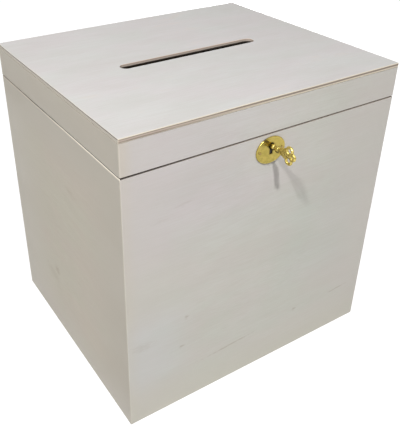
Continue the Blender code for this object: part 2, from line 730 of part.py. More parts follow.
def make_strike(steel, brass, front_rail):
    """The strike: a plate on the lid's front rail, with a hook bent inwards and down at each side."""
    near = FIT
    far = near + STRIKE_SHEET
    half = (HOOK_OUTSIDE + HOOK_INSIDE) / 2
    back = prism(rectangle(-half, STRIKE_BOTTOM, half, STRIKE_TOP), near, far, "XZ")
    strike = make_object("strike_plate", back, LOCK_PLACE, steel)
    side = [
        (near, STRIKE_BOTTOM),
        (HOOK_NEAR, STRIKE_BOTTOM),
        (HOOK_NEAR, HOOK_BOTTOM),
        (HOOK_FAR, HOOK_BOTTOM),
        (HOOK_FAR, STRIKE_TOP - STRIKE_CHAMFER),
        (HOOK_FAR - STRIKE_CHAMFER, STRIKE_TOP),
        (near, STRIKE_TOP),
    ]
    for name, left, right in (("left", -HOOK_OUTSIDE, -HOOK_INSIDE), ("right", HOOK_INSIDE, HOOK_OUTSIDE)):
        hook = prism(side, left, right, "YZ")
        combine(strike, make_tool(f"add_{name}_hook", hook, LOCK_PLACE), "UNION")
    eye = rectangle(BOLT_NEAR - RUN, FINGER_RISE - RUN, BOLT_FAR + RUN, FINGER_TOP + RUN)
    reach = HOOK_OUTSIDE + CUTTER_REACH
    combine(strike, make_tool("cut_hook_eyes", prism(eye, -reach, reach, "YZ"), LOCK_PLACE), "DIFFERENCE")

    seat = far + FIT
    length = seat + WOOD_BITE
    top = ROUND_HEAD_HEIGHT
    mesh = slotted_screw_mesh("strike_screw", round_screw_profile(length), top, ROUND_HEAD_RADIUS, brass)
    centre = (STRIKE_BOTTOM + STRIKE_TOP) / 2
    pieces = [strike]
    places = []
    for name, sign in (("left", -1), ("right", 1)):
        spot = LOCK_PLACE + Vector((sign * STRIKE_SCREW_SPREAD / 2, seat, centre))
        pieces.append(place_copy(f"strike_screw_{name}", mesh, spot, -90.0))
        places.append(spot)
    tool = make_tool("cut_strike_screws", holes(shank_hole(ROUND_SHANK_RADIUS, length), places, -90.0))
    combine(strike, tool, "DIFFERENCE")
    combine(front_rail, tool, "DIFFERENCE")
    return pieces


def key_profile():
    """The key's shank, collar and neck as (radius, distance out), from the tip to the bow."""
    tip = -BIT_FAR - KEY_TIP
    collar = WALL + KEY_COLLAR_OUT
    collar_end = collar + KEY_COLLAR_LENGTH
    edge = 0.15 * KEY_COLLAR_LENGTH
    end = WALL + BOW_NOSE_OUT - BOW_NOSE_RADIUS
    return [
        (0.0, tip),
        (KEY_SHANK_RADIUS - KEY_TIP, tip),
        (KEY_SHANK_RADIUS, tip + KEY_TIP),
        (KEY_SHANK_RADIUS, collar),
        (KEY_COLLAR_RADIUS - edge, collar),
        (KEY_COLLAR_RADIUS, collar + edge),
        (KEY_COLLAR_RADIUS, collar_end - edge),
        (KEY_COLLAR_RADIUS - edge, collar_end),
        (KEY_NECK_RADIUS, collar_end),
        (KEY_NECK_RADIUS, end),
        (0.0, end),
    ]


def bow_loop(radius, out, up):
    """One round loop of the bow, in the plane of the key's bit."""
    bpy.ops.mesh.primitive_torus_add(
        major_radius=radius,
        minor_radius=BOW_WIRE_RADIUS,
        major_segments=LOOP_SIDES,
        minor_segments=WIRE_SIDES,
    )
    made = bpy.context.object
    shape = bmesh.new()
    shape.from_mesh(made.data)
    bpy.data.objects.remove(made)
    turn = Matrix.Rotation(math.radians(90.0), 4, "Y")
    return moved(shape, Matrix.Translation((0.0, -WALL - out, up)) @ turn)


def bow_web():
    """The flat web that widens from the collar to the bow's two side loops."""
    collar = -WALL - KEY_COLLAR_OUT - KEY_COLLAR_LENGTH / 2
    loops = -WALL - BOW_LOOP_OUT + BOW_LOOP_RADIUS
    outline = [
        (collar, -BOW_WEB_NARROW),
        (loops, -BOW_WEB_WIDE),
        (loops, BOW_WEB_WIDE),
        (collar, BOW_WEB_NARROW),
    ]
    half = BOW_WEB_THICKNESS / 2
    return prism(outline, -half, half, "YZ")


def make_key(brass):
    """The key: shank with collar, a bit with one ward cut, and a bow of three open loops."""
    shank = moved(lathe(key_profile(), ROUND_SIDES), Matrix.Rotation(math.radians(90.0), 4, "X"))
    key = make_object("key", shank, LOCK_PLACE, brass, smooth=True)
    middle = (BIT_NEAR + BIT_FAR) / 2
    ward = BIT_WARD_WIDTH / 2
    bit = [
        (BIT_NEAR, 0.0),
        (BIT_NEAR, -BIT_REACH),
        (middle - ward, -BIT_REACH),
        (middle - ward, BIT_WARD_DEPTH - BIT_REACH),
        (middle + ward, BIT_WARD_DEPTH - BIT_REACH),
        (middle + ward, -BIT_REACH),
        (BIT_FAR, -BIT_REACH),
        (BIT_FAR, 0.0),
    ]
    shapes = {"bit": prism(bit, -BIT_THICKNESS / 2, BIT_THICKNESS / 2, "YZ")}
    shapes["web"] = bow_web()
    shapes["top_loop"] = bow_loop(BOW_LOOP_RADIUS, BOW_LOOP_OUT, BOW_LOOP_SPREAD)
    shapes["bottom_loop"] = bow_loop(BOW_LOOP_RADIUS, BOW_LOOP_OUT, -BOW_LOOP_SPREAD)
    shapes["nose_loop"] = bow_loop(BOW_NOSE_RADIUS, BOW_NOSE_OUT, 0.0)
    for name, shape in shapes.items():
        combine(key, make_tool(f"add_key_{name}", shape, LOCK_PLACE), "UNION")
    return key


def main():
    clear_scene()
    wood = make_material("pale_wood", (0.68, 0.62, 0.55), 0.6, 0.0)
    sheet = make_material("pale_plywood", (0.72, 0.67, 0.61), 0.6, 0.0)
    brass = make_material("polished_brass", (0.75, 0.56, 0.20), 0.2, 1.0)
    steel = make_material("zinc_plated_steel", (0.62, 0.62, 0.60), 0.35, 1.0)

    lid_axis = make_axis("lid_axis", HINGE_AXIS)
    key_axis = make_axis("key_axis", LOCK_PLACE)
    front_panel, _, back_panel, _ = make_body(wood)
    rails, top = make_lid(wood, sheet)
    make_hinges(brass, back_panel, rails[2], lid_axis)
    keyhole = make_escutcheon(brass, front_panel)
    make_lock(steel, brass, front_panel, keyhole)
    bolt = make_bolt(steel)
    bolt_axis = make_axis("bolt_axis", LOCK_PLACE)
    hang_on(bolt_axis, [bolt])
    hang_on(lid_axis, rails + [top] + make_strike(steel, brass, rails[0]))
    hang_on(key_axis, [make_barrel(steel), make_key(brass)])


main()
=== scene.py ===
"""Looks of the lockable envelope box: limewashed wood, plywood lid sheet, gold lock fittings and stage.

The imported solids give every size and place. Each piece here is a surface worked out on a grid of two
parameters, or a profile carried along a path, and stands in the row frame: metres, +Z up, lock at -Y.
"""

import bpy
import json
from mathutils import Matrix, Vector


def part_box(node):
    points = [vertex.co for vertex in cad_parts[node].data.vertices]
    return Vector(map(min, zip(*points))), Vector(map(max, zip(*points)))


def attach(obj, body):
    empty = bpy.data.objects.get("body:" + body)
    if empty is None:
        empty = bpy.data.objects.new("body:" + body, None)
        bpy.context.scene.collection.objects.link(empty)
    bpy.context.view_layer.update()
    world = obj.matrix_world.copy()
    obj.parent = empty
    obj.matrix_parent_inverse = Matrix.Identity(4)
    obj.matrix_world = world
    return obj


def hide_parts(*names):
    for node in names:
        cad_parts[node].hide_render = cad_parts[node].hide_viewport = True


bl_info = {
    "name": "Envelope Box Looks",
    "version": (1, 0, 0),
    "blender": (4, 5, 0),
    "location": "View3D > Sidebar > Envelope Box",
    "description": "Wooden envelope box with a posting slot, hinges, lock and key",
    "category": "Add Mesh",
}

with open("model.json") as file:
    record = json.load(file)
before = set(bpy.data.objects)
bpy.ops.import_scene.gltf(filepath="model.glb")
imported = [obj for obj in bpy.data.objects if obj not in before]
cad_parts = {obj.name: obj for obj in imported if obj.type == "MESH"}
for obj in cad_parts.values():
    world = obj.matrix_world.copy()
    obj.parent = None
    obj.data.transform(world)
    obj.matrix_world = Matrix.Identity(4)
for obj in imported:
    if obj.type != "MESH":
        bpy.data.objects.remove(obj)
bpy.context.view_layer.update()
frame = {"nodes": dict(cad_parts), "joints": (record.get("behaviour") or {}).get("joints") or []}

import json
import math

import bmesh
import bpy
import numpy as np
from bpy.props import FloatProperty, FloatVectorProperty, PointerProperty
from mathutils import Euler, Matrix, Vector

# Places that every piece is worked out from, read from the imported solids
_, SHEET_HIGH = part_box("lid_top_panel")
WIDTH = SHEET_HIGH.x * 2
DEPTH = SHEET_HIGH.y * 2
JOINTS = {joint["name"]: joint for joint in frame["joints"]}
HINGE_Y, HINGE_Z = JOINTS["lid_hinge"]["pos_m"][1:]
KEY_X, WALL_INSIDE, KEY_Z = JOINTS["key_turn"]["pos_m"]
FRONT = -DEPTH / 2
BACK = DEPTH / 2
WALL = WALL_INSIDE - FRONT
TURNS = {"front": 0, "right": 1, "back": 2, "left": 3}


def property_of(make, **fixed):
    """A function that makes properties of one kind from a default, a name and a description."""

    def make_property(default, name, description):
        return make(name=name, description=description, default=default, **fixed)

    return make_property


metres = property_of(FloatProperty, unit="LENGTH", precision=5)
share = property_of(FloatProperty, min=0.0, max=1.0, subtype="FACTOR")
number = property_of(FloatProperty)
radians = property_of(FloatProperty, subtype="ANGLE")
colour = property_of(FloatVectorProperty, size=3, subtype="COLOR", min=0.0, max=1.0)
place = property_of(FloatVectorProperty, size=3, subtype="TRANSLATION", unit="LENGTH")


def angle(degrees, name, description):
    """An angle, written in degrees and kept in radians."""
    return radians(math.radians(degrees), name, description)


class WoodSettings(bpy.types.PropertyGroup):
    """Sizes and colours of the boards and the lid sheet."""

    corner_radius: metres(0.0010, "Corner radius", "Rounding of the upright corners, seen from above")
    edge_radius: metres(0.0005, "Edge radius", "Rounding of the long edges")
    seam_radius: metres(0.0003, "Seam radius", "Rounding of the edges along the lid's seam")
    lip_radius: metres(0.0007, "Lip radius", "Rounding of the side walls' upper edges")
    inner_radius: metres(0.0003, "Inner edge radius", "Rounding of the edges inside the box")
    mitre_gap: metres(0.00002, "Mitre gap", "How far a mitred end stays from the joint")
    mitre_fade: metres(0.010, "Mitre fade", "Over how much of its end a lip narrows to the seam's radius")
    rim_gap: metres(0.00002, "Rim gap", "How far the inner half of each rim stays from the seam's middle")
    sheet_edge: metres(0.0004, "Sheet edge radius", "Rounding of the lid sheet's edges")
    slot_edge: metres(0.0005, "Slot edge radius", "Rounding of the posting slot's rims")
    slot_length: metres(0.150, "Slot length", "Length of the posting slot over its round ends")
    slot_width: metres(0.012, "Slot width", "Width of the posting slot")
    front: colour((0.634, 0.625, 0.583), "Front wash", "Limewash on the front and back")
    side: colour((0.607, 0.564, 0.487), "Side wash", "Limewash on the two sides")
    sheet: colour((0.644, 0.630, 0.625), "Sheet wash", "Limewash on the lid sheet")
    bare: colour((0.610, 0.500, 0.370), "Bare wood", "Unfinished wood inside the box")
    glue_line: colour((0.290, 0.232, 0.190), "Glue line", "Brown lines between the plies")
    # The rims' dark and pale colours are painted shade inside the closed seam's gap
    rim: colour((0.090, 0.073, 0.062), "Rims", "Cut rims along the seam, darkened by handling")
    seam_shade_pale: colour((0.340, 0.290, 0.250), "Pale rims", "The rims where less dirt has gathered")
    rim_depth: metres(0.0022, "Rim depth", "How far the dark of the rims reaches in from the outer face")
    rim_end: metres(0.0040, "Rim end", "From the outer face to where the dark of the rims has faded out")
    wear_width: metres(0.0016, "Wear width", "How far the wash may rub off from the boards' edges")
    rebate_gap: metres(0.0002, "Rebate gap", "From the bottom sheet up to the shoulder of its rebate")
    bottom_corner: metres(0.0008, "Bottom corner radius", "Rounding of the bottom sheet's corners")
    # The lips' cream is worn wood brightened as a painted highlight along the side walls' upper edges
    lip: colour((0.880, 0.810, 0.690), "Lips", "Cream wood where the lid rubs the side walls' upper edges")
    # The keyhole's burnt wood is near black, darkened as painted shade inside the keyhole
    burnt: colour((0.030, 0.022, 0.016), "Burnt keyhole", "Scorched wood inside the keyhole")
    core: colour((0.560, 0.465, 0.400), "Core ply", "The middle ply, where the sheet is cut")
    worn: colour((0.780, 0.700, 0.560), "Worn edge", "Cream wood where the wash has rubbed off the edges")
    face_ply: metres(0.0008, "Face ply", "Thickness of the outer plies")
    glue_ply: metres(0.0006, "Glue ply", "Thickness of the brown lines between the plies")
    # The foot of the slot's wall is painted shade, where the slot opens into the dark box
    scorched: colour((0.045, 0.034, 0.026), "Scorched cut", "Foot of the slot's wall, darkened by the cutter")


class BrassSettings(bpy.types.PropertyGroup):
    """Sizes and colours of the gold coloured escutcheon, hinges and screws."""

    gold: colour((0.500, 0.388, 0.100), "Gold", "Polished brass of the escutcheon")
    olive: colour((0.385, 0.312, 0.075), "Olive gold", "Duller patches of the escutcheon")
    pin: colour((0.310, 0.205, 0.075), "Pin brass", "Older brass of the escutcheon's pins")
    satin: colour((0.560, 0.430, 0.190), "Satin brass", "Rolled brass of the hinges and screws")
    dull: colour((0.420, 0.310, 0.120), "Dull brass", "Duller patches of the hinges and screws")
    # The dirt colour is dirt and painted shade, and on the escutcheon a painted reflection too
    dirt: colour((0.050, 0.034, 0.012), "Dirt", "Dirt and old polish in hollows")
    plate_edge: metres(0.0009, "Plate edge", "How wide the escutcheon's edge rounds over")
    plate_crown: metres(0.00012, "Plate crown", "How far the escutcheon's face swells")
    plate_rim: metres(0.00025, "Keyhole rim", "Rounding of the keyhole's rim")
    groove_inset: metres(0.0020, "Groove inset", "From the escutcheon's outline to its engraved line")
    groove_width: metres(0.0004, "Groove width", "Width of the engraved line")
    groove_depth: metres(0.00012, "Groove depth", "Depth of the engraved line")
    keyhole_radius: metres(0.0028, "Keyhole radius", "Radius of the keyhole's round head")
    keyhole_slot: metres(0.0029, "Keyhole slot", "Width of the keyhole's slot")
    keyhole_foot: metres(0.0075, "Keyhole foot", "From the key's axis down to the keyhole's foot")
    # Dirt and painted shade spread this far round the keyhole
    keyhole_grime: metres(0.0016, "Keyhole grime", "How far dirt spreads round the keyhole")
    # The smear is a painted reflection of the key's shank in the escutcheon
    smear_end: place((-0.0092, 0.0, 0.0085), "Smear end", "From the key's axis to a polish smear's end")
    smear_width: metres(0.0015, "Smear width", "Half width of the smear of old polish")
    tack_shank: metres(0.0006, "Pin shank", "Radius of the escutcheon pins' shanks")
    tack_dome: metres(0.0005, "Pin dome", "Height of the escutcheon pins' domed heads")
    tack_taper: metres(0.0010, "Pin taper", "Length of the escutcheon pins' tapered ends")
    leaf_inner: metres(0.0002, "Leaf inner face", "From the seam's middle to a hinge leaf's inner face")
    leaf_outer: metres(0.0010, "Leaf outer face", "From the seam's middle to a hinge leaf's outer face")
    leaf_gap: metres(0.0003, "Leaf gap", "Room round a hinge leaf in its seat, and beside its knuckles")
    curl_bore: metres(0.0011, "Curl bore", "Radius of the bore that the hinge pin lies in")
    curl_end: angle(-174.0, "Curl end", "Where a leaf's curl round the pin ends")
    knuckle_gap: metres(0.0004, "Knuckle gap", "Room between two knuckles")


class ScrewSettings(bpy.types.PropertyGroup):
    """Sizes of the slotted screws."""

    seat_gap: metres(0.0001, "Seat gap", "Room round a hinge screw in its countersunk hole")
    shank: metres(0.0009, "Shank", "Radius of the shank")
    cone: metres(0.0008, "Cone", "Depth of a flat screw's conical head")
    brim: metres(0.00008, "Brim", "How far a flat screw's face falls towards its rim")
    dome: metres(0.0012, "Dome", "Height of a round screw's head")
    drive_depth: metres(0.00045, "Driver slot depth", "Depth of the driver's slot")
    drive_half: metres(0.00025, "Driver slot half width", "Half width of the driver's slot")
    neck: metres(0.0010, "Neck", "From the head to the thread")
    pitch: metres(0.0008, "Pitch", "From one turn of the thread to the next")
    thread: metres(0.00012, "Thread", "How deep the thread is cut")
    point: metres(0.0015, "Point", "Length of the tapered point")


class KeySettings(bpy.types.PropertyGroup):
    """Sizes and colours of the cast key; distances out are from the box's front face."""

    gold: colour((0.830, 0.670, 0.205), "Key gold", "Bright plating of the key")
    worn: colour((0.335, 0.255, 0.066), "Worn gold", "Darker patches where the plating has worn")
    shank_radius: metres(0.0019, "Shank radius", "Radius of the key's round shank")
    neck_radius: metres(0.0015, "Neck radius", "Radius between the collar and the bow")
    bead_radius: metres(0.0027, "Bead radius", "Radius of the turned bead before the collar")
    bead_out: metres(0.0046, "Bead place", "From the front face to the bead's middle")
    bead_half: metres(0.0015, "Bead half length", "Half the bead's length along the shank")
    collar_radius: metres(0.0029, "Collar radius", "Radius of the collar")
    collar_out: metres(0.0088, "Collar place", "From the front face to the collar")
    collar_length: metres(0.0026, "Collar length", "Length of the collar")
    collar_edge: metres(0.0005, "Collar edge", "Rounding of the collar's edges")
    wire: metres(0.00132, "Bow wire", "Radius of the wire that the bow's loops are cast as")
    bead_depth: share(0.09, "Bead depth", "How far the wire narrows between its beads")
    loop_radius: metres(0.0031, "Loop radius", "Radius of the two side loops, to the wire's middle")
    loop_out: metres(0.0234, "Loop place", "From the front face to the side loops' middles")
    loop_rise: metres(0.0043, "Loop rise", "From the key's axis to the side loops' middles")
    nose_radius: metres(0.0022, "Nose radius", "Radius of the end loop, to the wire's middle")
    nose_out: metres(0.02768, "Nose place", "From the front face to the end loop's middle")
    web_narrow: metres(0.0023, "Web by the collar", "Half width of the web where it leaves the collar")
    web_wide: metres(0.0062, "Web by the loops", "Half width of the web where it meets the loops")
    web_thick: metres(0.0013, "Web thickness", "Half thickness of the web in its middle")
    web_flute: share(0.14, "Web fluting", "How deep the two hollows along the web are")
    bit_half: metres(0.00085, "Bit thickness", "Half thickness of the bit")
    bit_length: metres(0.0045, "Bit length", "Length of the bit along the shank")
    bit_reach: metres(0.0069, "Bit reach", "From the key's axis down to the bit's edge")
    ward_width: metres(0.0009, "Ward width", "Width of the cut in the bit")
    ward_depth: metres(0.0022, "Ward depth", "Depth of the cut in the bit")
    tip: metres(0.0003, "Tip", "How far the shank reaches past the bit")
    grid: metres(0.00015, "Grid", "Grid on which the key's parts are melted into one")
    # The dark that fills the key's hollows is dirt and painted shade
    hollow: metres(0.000006, "Hollow", "How deep a hollow in the casting is that dirt fills")


class SteelSettings(bpy.types.PropertyGroup):
    """Colours and edges of the zinc plated lock."""

    zinc: colour((0.560, 0.570, 0.560), "Zinc", "Bright zinc plating of the lock and strike")
    cut: colour((0.300, 0.290, 0.270), "Cut edges", "Darker steel at sheared edges")
    # The grease is black grease and painted shade round the key's way in
    grease: colour((0.012, 0.011, 0.010), "Grease", "Black grease round the key's way in")
    grease_reach: metres(0.0095, "Grease reach", "How far from the key's axis the grease spreads")
    grease_depth: metres(0.0050, "Grease depth", "How far behind the front wall the grease reaches")
    grease_fade: metres(0.0020, "Grease fade", "How far inside its reach the grease is at its thickest")
    press_radius: metres(0.00025, "Press radius", "Rounding of the pressed sheet's edges")
    spring_radius: metres(0.0001, "Spring radius", "Rounding of the thin spring's edges")


class StageSettings(bpy.types.PropertyGroup):
    """Floor, lamps, room light and camera; add_lamp_settings() adds what each lamp needs."""

    floor: colour((0.560, 0.550, 0.530), "Floor", "Floor as it lights the box")
    floor_size: metres(6.0, "Floor size", "Width of the square floor")
    floor_glow: share(0.90, "Floor glow", "White that the camera sees on the floor")
    floor_shade: share(0.25, "Floor shade", "How strongly the box's shadow shows on the floor")
    room: share(0.200, "Room light", "Soft light from all round")
    target: place((0.0, -0.05, 0.20), "Lamp target", "The point that all lamps face")
    camera_place: place((-0.32267, -0.47359, 0.49549), "Camera place", "Where the camera stands")
    camera_heading: angle(32.164, "Camera heading", "How far the camera turns to the right of +Y")
    camera_drop: angle(30.554, "Camera drop", "How far the camera looks down")
    camera_roll: angle(-0.085, "Camera roll", "How far the camera leans")
    lens: number(52.630, "Lens", "Focal length in millimetres on a 36 mm sensor")
    shift_x: number(0.0744, "Shift across", "How far the picture's frame is moved to the right")
    shift_y: number(-0.0739, "Shift up", "How far the picture's frame is moved up")


# What a round lamp needs: each value's word, its kind and its description
LAMP_VALUES = (
    ("power", number, "Watts of the lamp"),
    ("size", metres, "Diameter of the lamp"),
    ("heading", angle, "How far to the left of the front the lamp stands"),
    ("rise", angle, "How high the lamp stands"),
    ("distance", metres, "From the lamp to its target"),
)

# The lamps with these values, angles in degrees; the back one lights the sides turned away
LAMPS = {
    "sharp": (28.1, 0.11, 23.0, 52.7, 2.20),
    "soft": (10.0, 0.088, 55.5, 49.9, 1.55),
    "side": (0.20, 0.40, 112.0, 12.0, 0.75),
    "back": (12.0, 0.28, -138.0, -1.5, 1.50),
}


def add_lamp_settings():
    """Give the stage settings one property for each value of each lamp."""
    for name, values in LAMPS.items():
        for value, (word, make, description) in zip(values, LAMP_VALUES):
            label = f"{name.capitalize()} lamp {word}"
            StageSettings.__annotations__[f"{name}_{word}"] = make(value, label, description)


def wood():
    return bpy.context.scene.envelope_wood


def brass():
    return bpy.context.scene.envelope_brass


def steel():
    return bpy.context.scene.envelope_steel


def screws():
    return bpy.context.scene.envelope_screws


def cast_key():
    return bpy.context.scene.envelope_key


# Surfaces and meshes

# Faces that meet at more degrees than this keep a crisp edge; the cast key is smooth all over
CRISP = 34.0
WOOD_CRISP = 50.0
PLATE_CRISP = 60.0
STEEL_CRISP = 40.0
KEY_CRISP = 180.0

# The smallest corner radius, which keeps the points of a ring apart
SHARP = 1e-5

# Points that are closer than this are one point
WELD = 1e-7

# How far from a rounded edge the nearest line of a flat stands, which keeps the flat's shading flat
HOLD = 0.0003


def grid_quads(rows, columns, close_rows=False, close_columns=False):
    """Corner numbers of the quads of a grid; a closed way joins its last line to its first."""
    r = np.arange(rows if close_rows else rows - 1)
    c = np.arange(columns if close_columns else columns - 1)
    r, c = np.meshgrid(r, c, indexing="ij")
    r2 = (r + 1) % rows
    c2 = (c + 1) % columns
    corners = (r * columns + c, r * columns + c2, r2 * columns + c2, r2 * columns + c)
    return np.stack(corners, -1).reshape(-1, 4)


def sheet_of(points, close_rows=False, close_columns=False):
    """A grid of points, rows by columns by three, as a list of points and a list of quads."""
    rows, columns, _ = points.shape
    return points.reshape(-1, 3), grid_quads(rows, columns, close_rows, close_columns)


def make_mesh(name, surfaces):
    """One mesh from several surfaces: equal points welded, open rims capped, faces turned outwards."""
    starts = np.cumsum([0] + [len(points) for points, _ in surfaces])
    points = np.concatenate([points for points, _ in surfaces]).astype(np.float32)
    quads = np.concatenate([quads + start for (_, quads), start in zip(surfaces, starts)])
    mesh = bpy.data.meshes.new(name)
    mesh.vertices.add(len(points))
    mesh.vertices.foreach_set("co", points.ravel())
    mesh.loops.add(quads.size)
    mesh.loops.foreach_set("vertex_index", quads.ravel().astype(np.int32))
    mesh.polygons.add(len(quads))
    mesh.polygons.foreach_set("loop_start", np.arange(0, quads.size, 4, dtype=np.int32))
    mesh.update(calc_edges=True)
    shape = bmesh.new()
    shape.from_mesh(mesh)
    bmesh.ops.remove_doubles(shape, verts=shape.verts, dist=WELD)
    bmesh.ops.dissolve_degenerate(shape, edges=shape.edges, dist=WELD / 10)
    bmesh.ops.holes_fill(shape, edges=[edge for edge in shape.edges if edge.is_boundary])
    bmesh.ops.recalc_face_normals(shape, faces=shape.faces)
    shape.to_mesh(mesh)
    shape.free()
    return mesh


def finish_mesh(mesh, sharp):
    """Smooth shading, kept crisp where faces meet at more than the given degrees."""
    mesh.shade_smooth()
    mesh.set_sharp_from_angle(angle=math.radians(sharp))


def make_piece(name, surface, material, body, sharp=CRISP):
    """A piece from one surface, in the place of the solid of the same name."""
    mesh = make_mesh(name, [surface])
    finish_mesh(mesh, sharp)
    return place_piece(name, mesh, material, body)


def place_piece(name, mesh, material, body):
    """Put a finished mesh into the scene, to ride on a body and replace the solid of the same name."""
    mesh.materials.clear()
    mesh.materials.append(material)
    piece = bpy.data.objects.new(name, mesh)
    bpy.context.scene.collection.objects.link(piece)
    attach(piece, body)
    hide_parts(name)
    return piece


def make_brass_piece(name, points, look, body, close_rows=False, sharp=CRISP):
    """A gold coloured piece from a grid whose columns close on themselves."""
    return make_piece(name, sheet_of(points, close_rows, True), finish(look), body, sharp)


def apply_modifiers(piece, sharp):
    """Keep what the modifiers make as the piece's own mesh."""
    graph = bpy.context.evaluated_depsgraph_get()
    graph.update()
    old = piece.data
    mesh = bpy.data.meshes.new_from_object(piece.evaluated_get(graph))
    piece.modifiers.clear()
    piece.data = mesh
    bpy.data.meshes.remove(old)
    finish_mesh(mesh, sharp)


def cut_out(piece, surfaces, sharp=CRISP):
    """Cut closed surfaces out of a piece."""
    mesh = make_mesh("tool", surfaces)
    tool = bpy.data.objects.new("tool", mesh)
    bpy.context.scene.collection.objects.link(tool)
    cutting = piece.modifiers.new("cut", "BOOLEAN")
    cutting.operation = "DIFFERENCE"
    cutting.solver = "EXACT"
    cutting.object = tool
    apply_modifiers(piece, sharp)
    bpy.data.objects.remove(tool)
    bpy.data.meshes.remove(mesh)


def points_of(mesh):
    """A mesh's points as an array of three columns."""
    points = np.empty(len(mesh.vertices) * 3, np.float32)
    mesh.vertices.foreach_get("co", points)
    return points.reshape(-1, 3)


def set_dirt_and_painted_shade(mesh, grime):
    """Keep how much dirt and painted shade each point holds, from 0 to 1, for the mesh's finish to read."""
    layer = mesh.attributes.new("grime", "FLOAT", "POINT")
    layer.data.foreach_set("value", np.clip(grime, 0.0, 1.0).astype(np.float32))


def hollows(mesh, rounds):
    """How far each point lies below the mean of its neighbours, along its normal, in metres.

    The result is averaged over the neighbours for a number of rounds, which widens the hollows.
    """
    ends = np.empty(len(mesh.edges) * 2, np.int32)
    mesh.edges.foreach_get("vertices", ends)
    a, b = ends.reshape(-1, 2).T
    total = len(mesh.vertices)
    count = np.maximum(np.bincount(a, minlength=total) + np.bincount(b, minlength=total), 1)

    def mean_of_neighbours(values):
        return (np.bincount(a, values[b], total) + np.bincount(b, values[a], total)) / count

    points = points_of(mesh)
    normals = np.empty(total * 3, np.float32)
    mesh.vertex_normals.foreach_get("vector", normals)
    mean = np.stack([mean_of_neighbours(column) for column in points.T], -1)
    depth = ((mean - points) * normals.reshape(-1, 3)).sum(1)
    for _ in range(rounds):
        depth = mean_of_neighbours(depth)
    return depth


def turn_about_z(points, quarters):
    """Points turned by quarter turns about the box's upright middle."""
    for _ in range(quarters % 4):
        points = np.stack([-points[..., 1], points[..., 0], points[..., 2]], -1)
    return points


def spaced(low, high, steps, hold):
    """Even steps from low to high, with one more line close to each end that holds the shading flat."""
    inner = np.linspace(low, high, steps + 1)
    return np.sort(np.concatenate([inner, [low + hold, high - hold]]))


def lathe(profile, sides):
    """A profile of (radius, height) turned about Z: x = r cos t, y = r sin t, z = h."""
    profile = np.asarray(profile, float)
    t = np.linspace(0.0, 2 * math.pi, sides, endpoint=False)
    x = profile[:, :1] * np.cos(t)
    y = profile[:, :1] * np.sin(t)
    z = np.repeat(profile[:, 1:], sides, axis=1)
    return np.stack([x, y, z], -1)


def sweep(outline, stations):
    """A closed outline in (y, z), carried along X through the stations."""
    outline = np.asarray(outline, float)
    stations = np.asarray(stations, float)
    x = np.repeat(stations[:, None], len(outline), axis=1)
    y = np.repeat(outline[None, :, 0], len(stations), axis=0)
    z = np.repeat(outline[None, :, 1], len(stations), axis=0)
    return np.stack([x, y, z], -1)


def arc(radius, start, end, steps, centre=(0.0, 0.0)):
    """Points of a circular arc from start to end, in degrees: centre + r (cos t, sin t)."""
    t = np.radians(np.linspace(start, end, steps + 1))
    return np.stack([centre[0] + radius * np.cos(t), centre[1] + radius * np.sin(t)], -1)


def moved(points, matrix):
    """Points carried by a matrix."""
    matrix = np.array(matrix)
    return points @ matrix[:3, :3].T + matrix[:3, 3]


def block(low, high):
    """A plain box between two corners, for cutting."""
    outline = [(low[1], low[2]), (high[1], low[2]), (high[1], high[2]), (low[1], high[2])]
    return sheet_of(sweep(outline, (low[0], high[0])), close_columns=True)


# Shader nodes

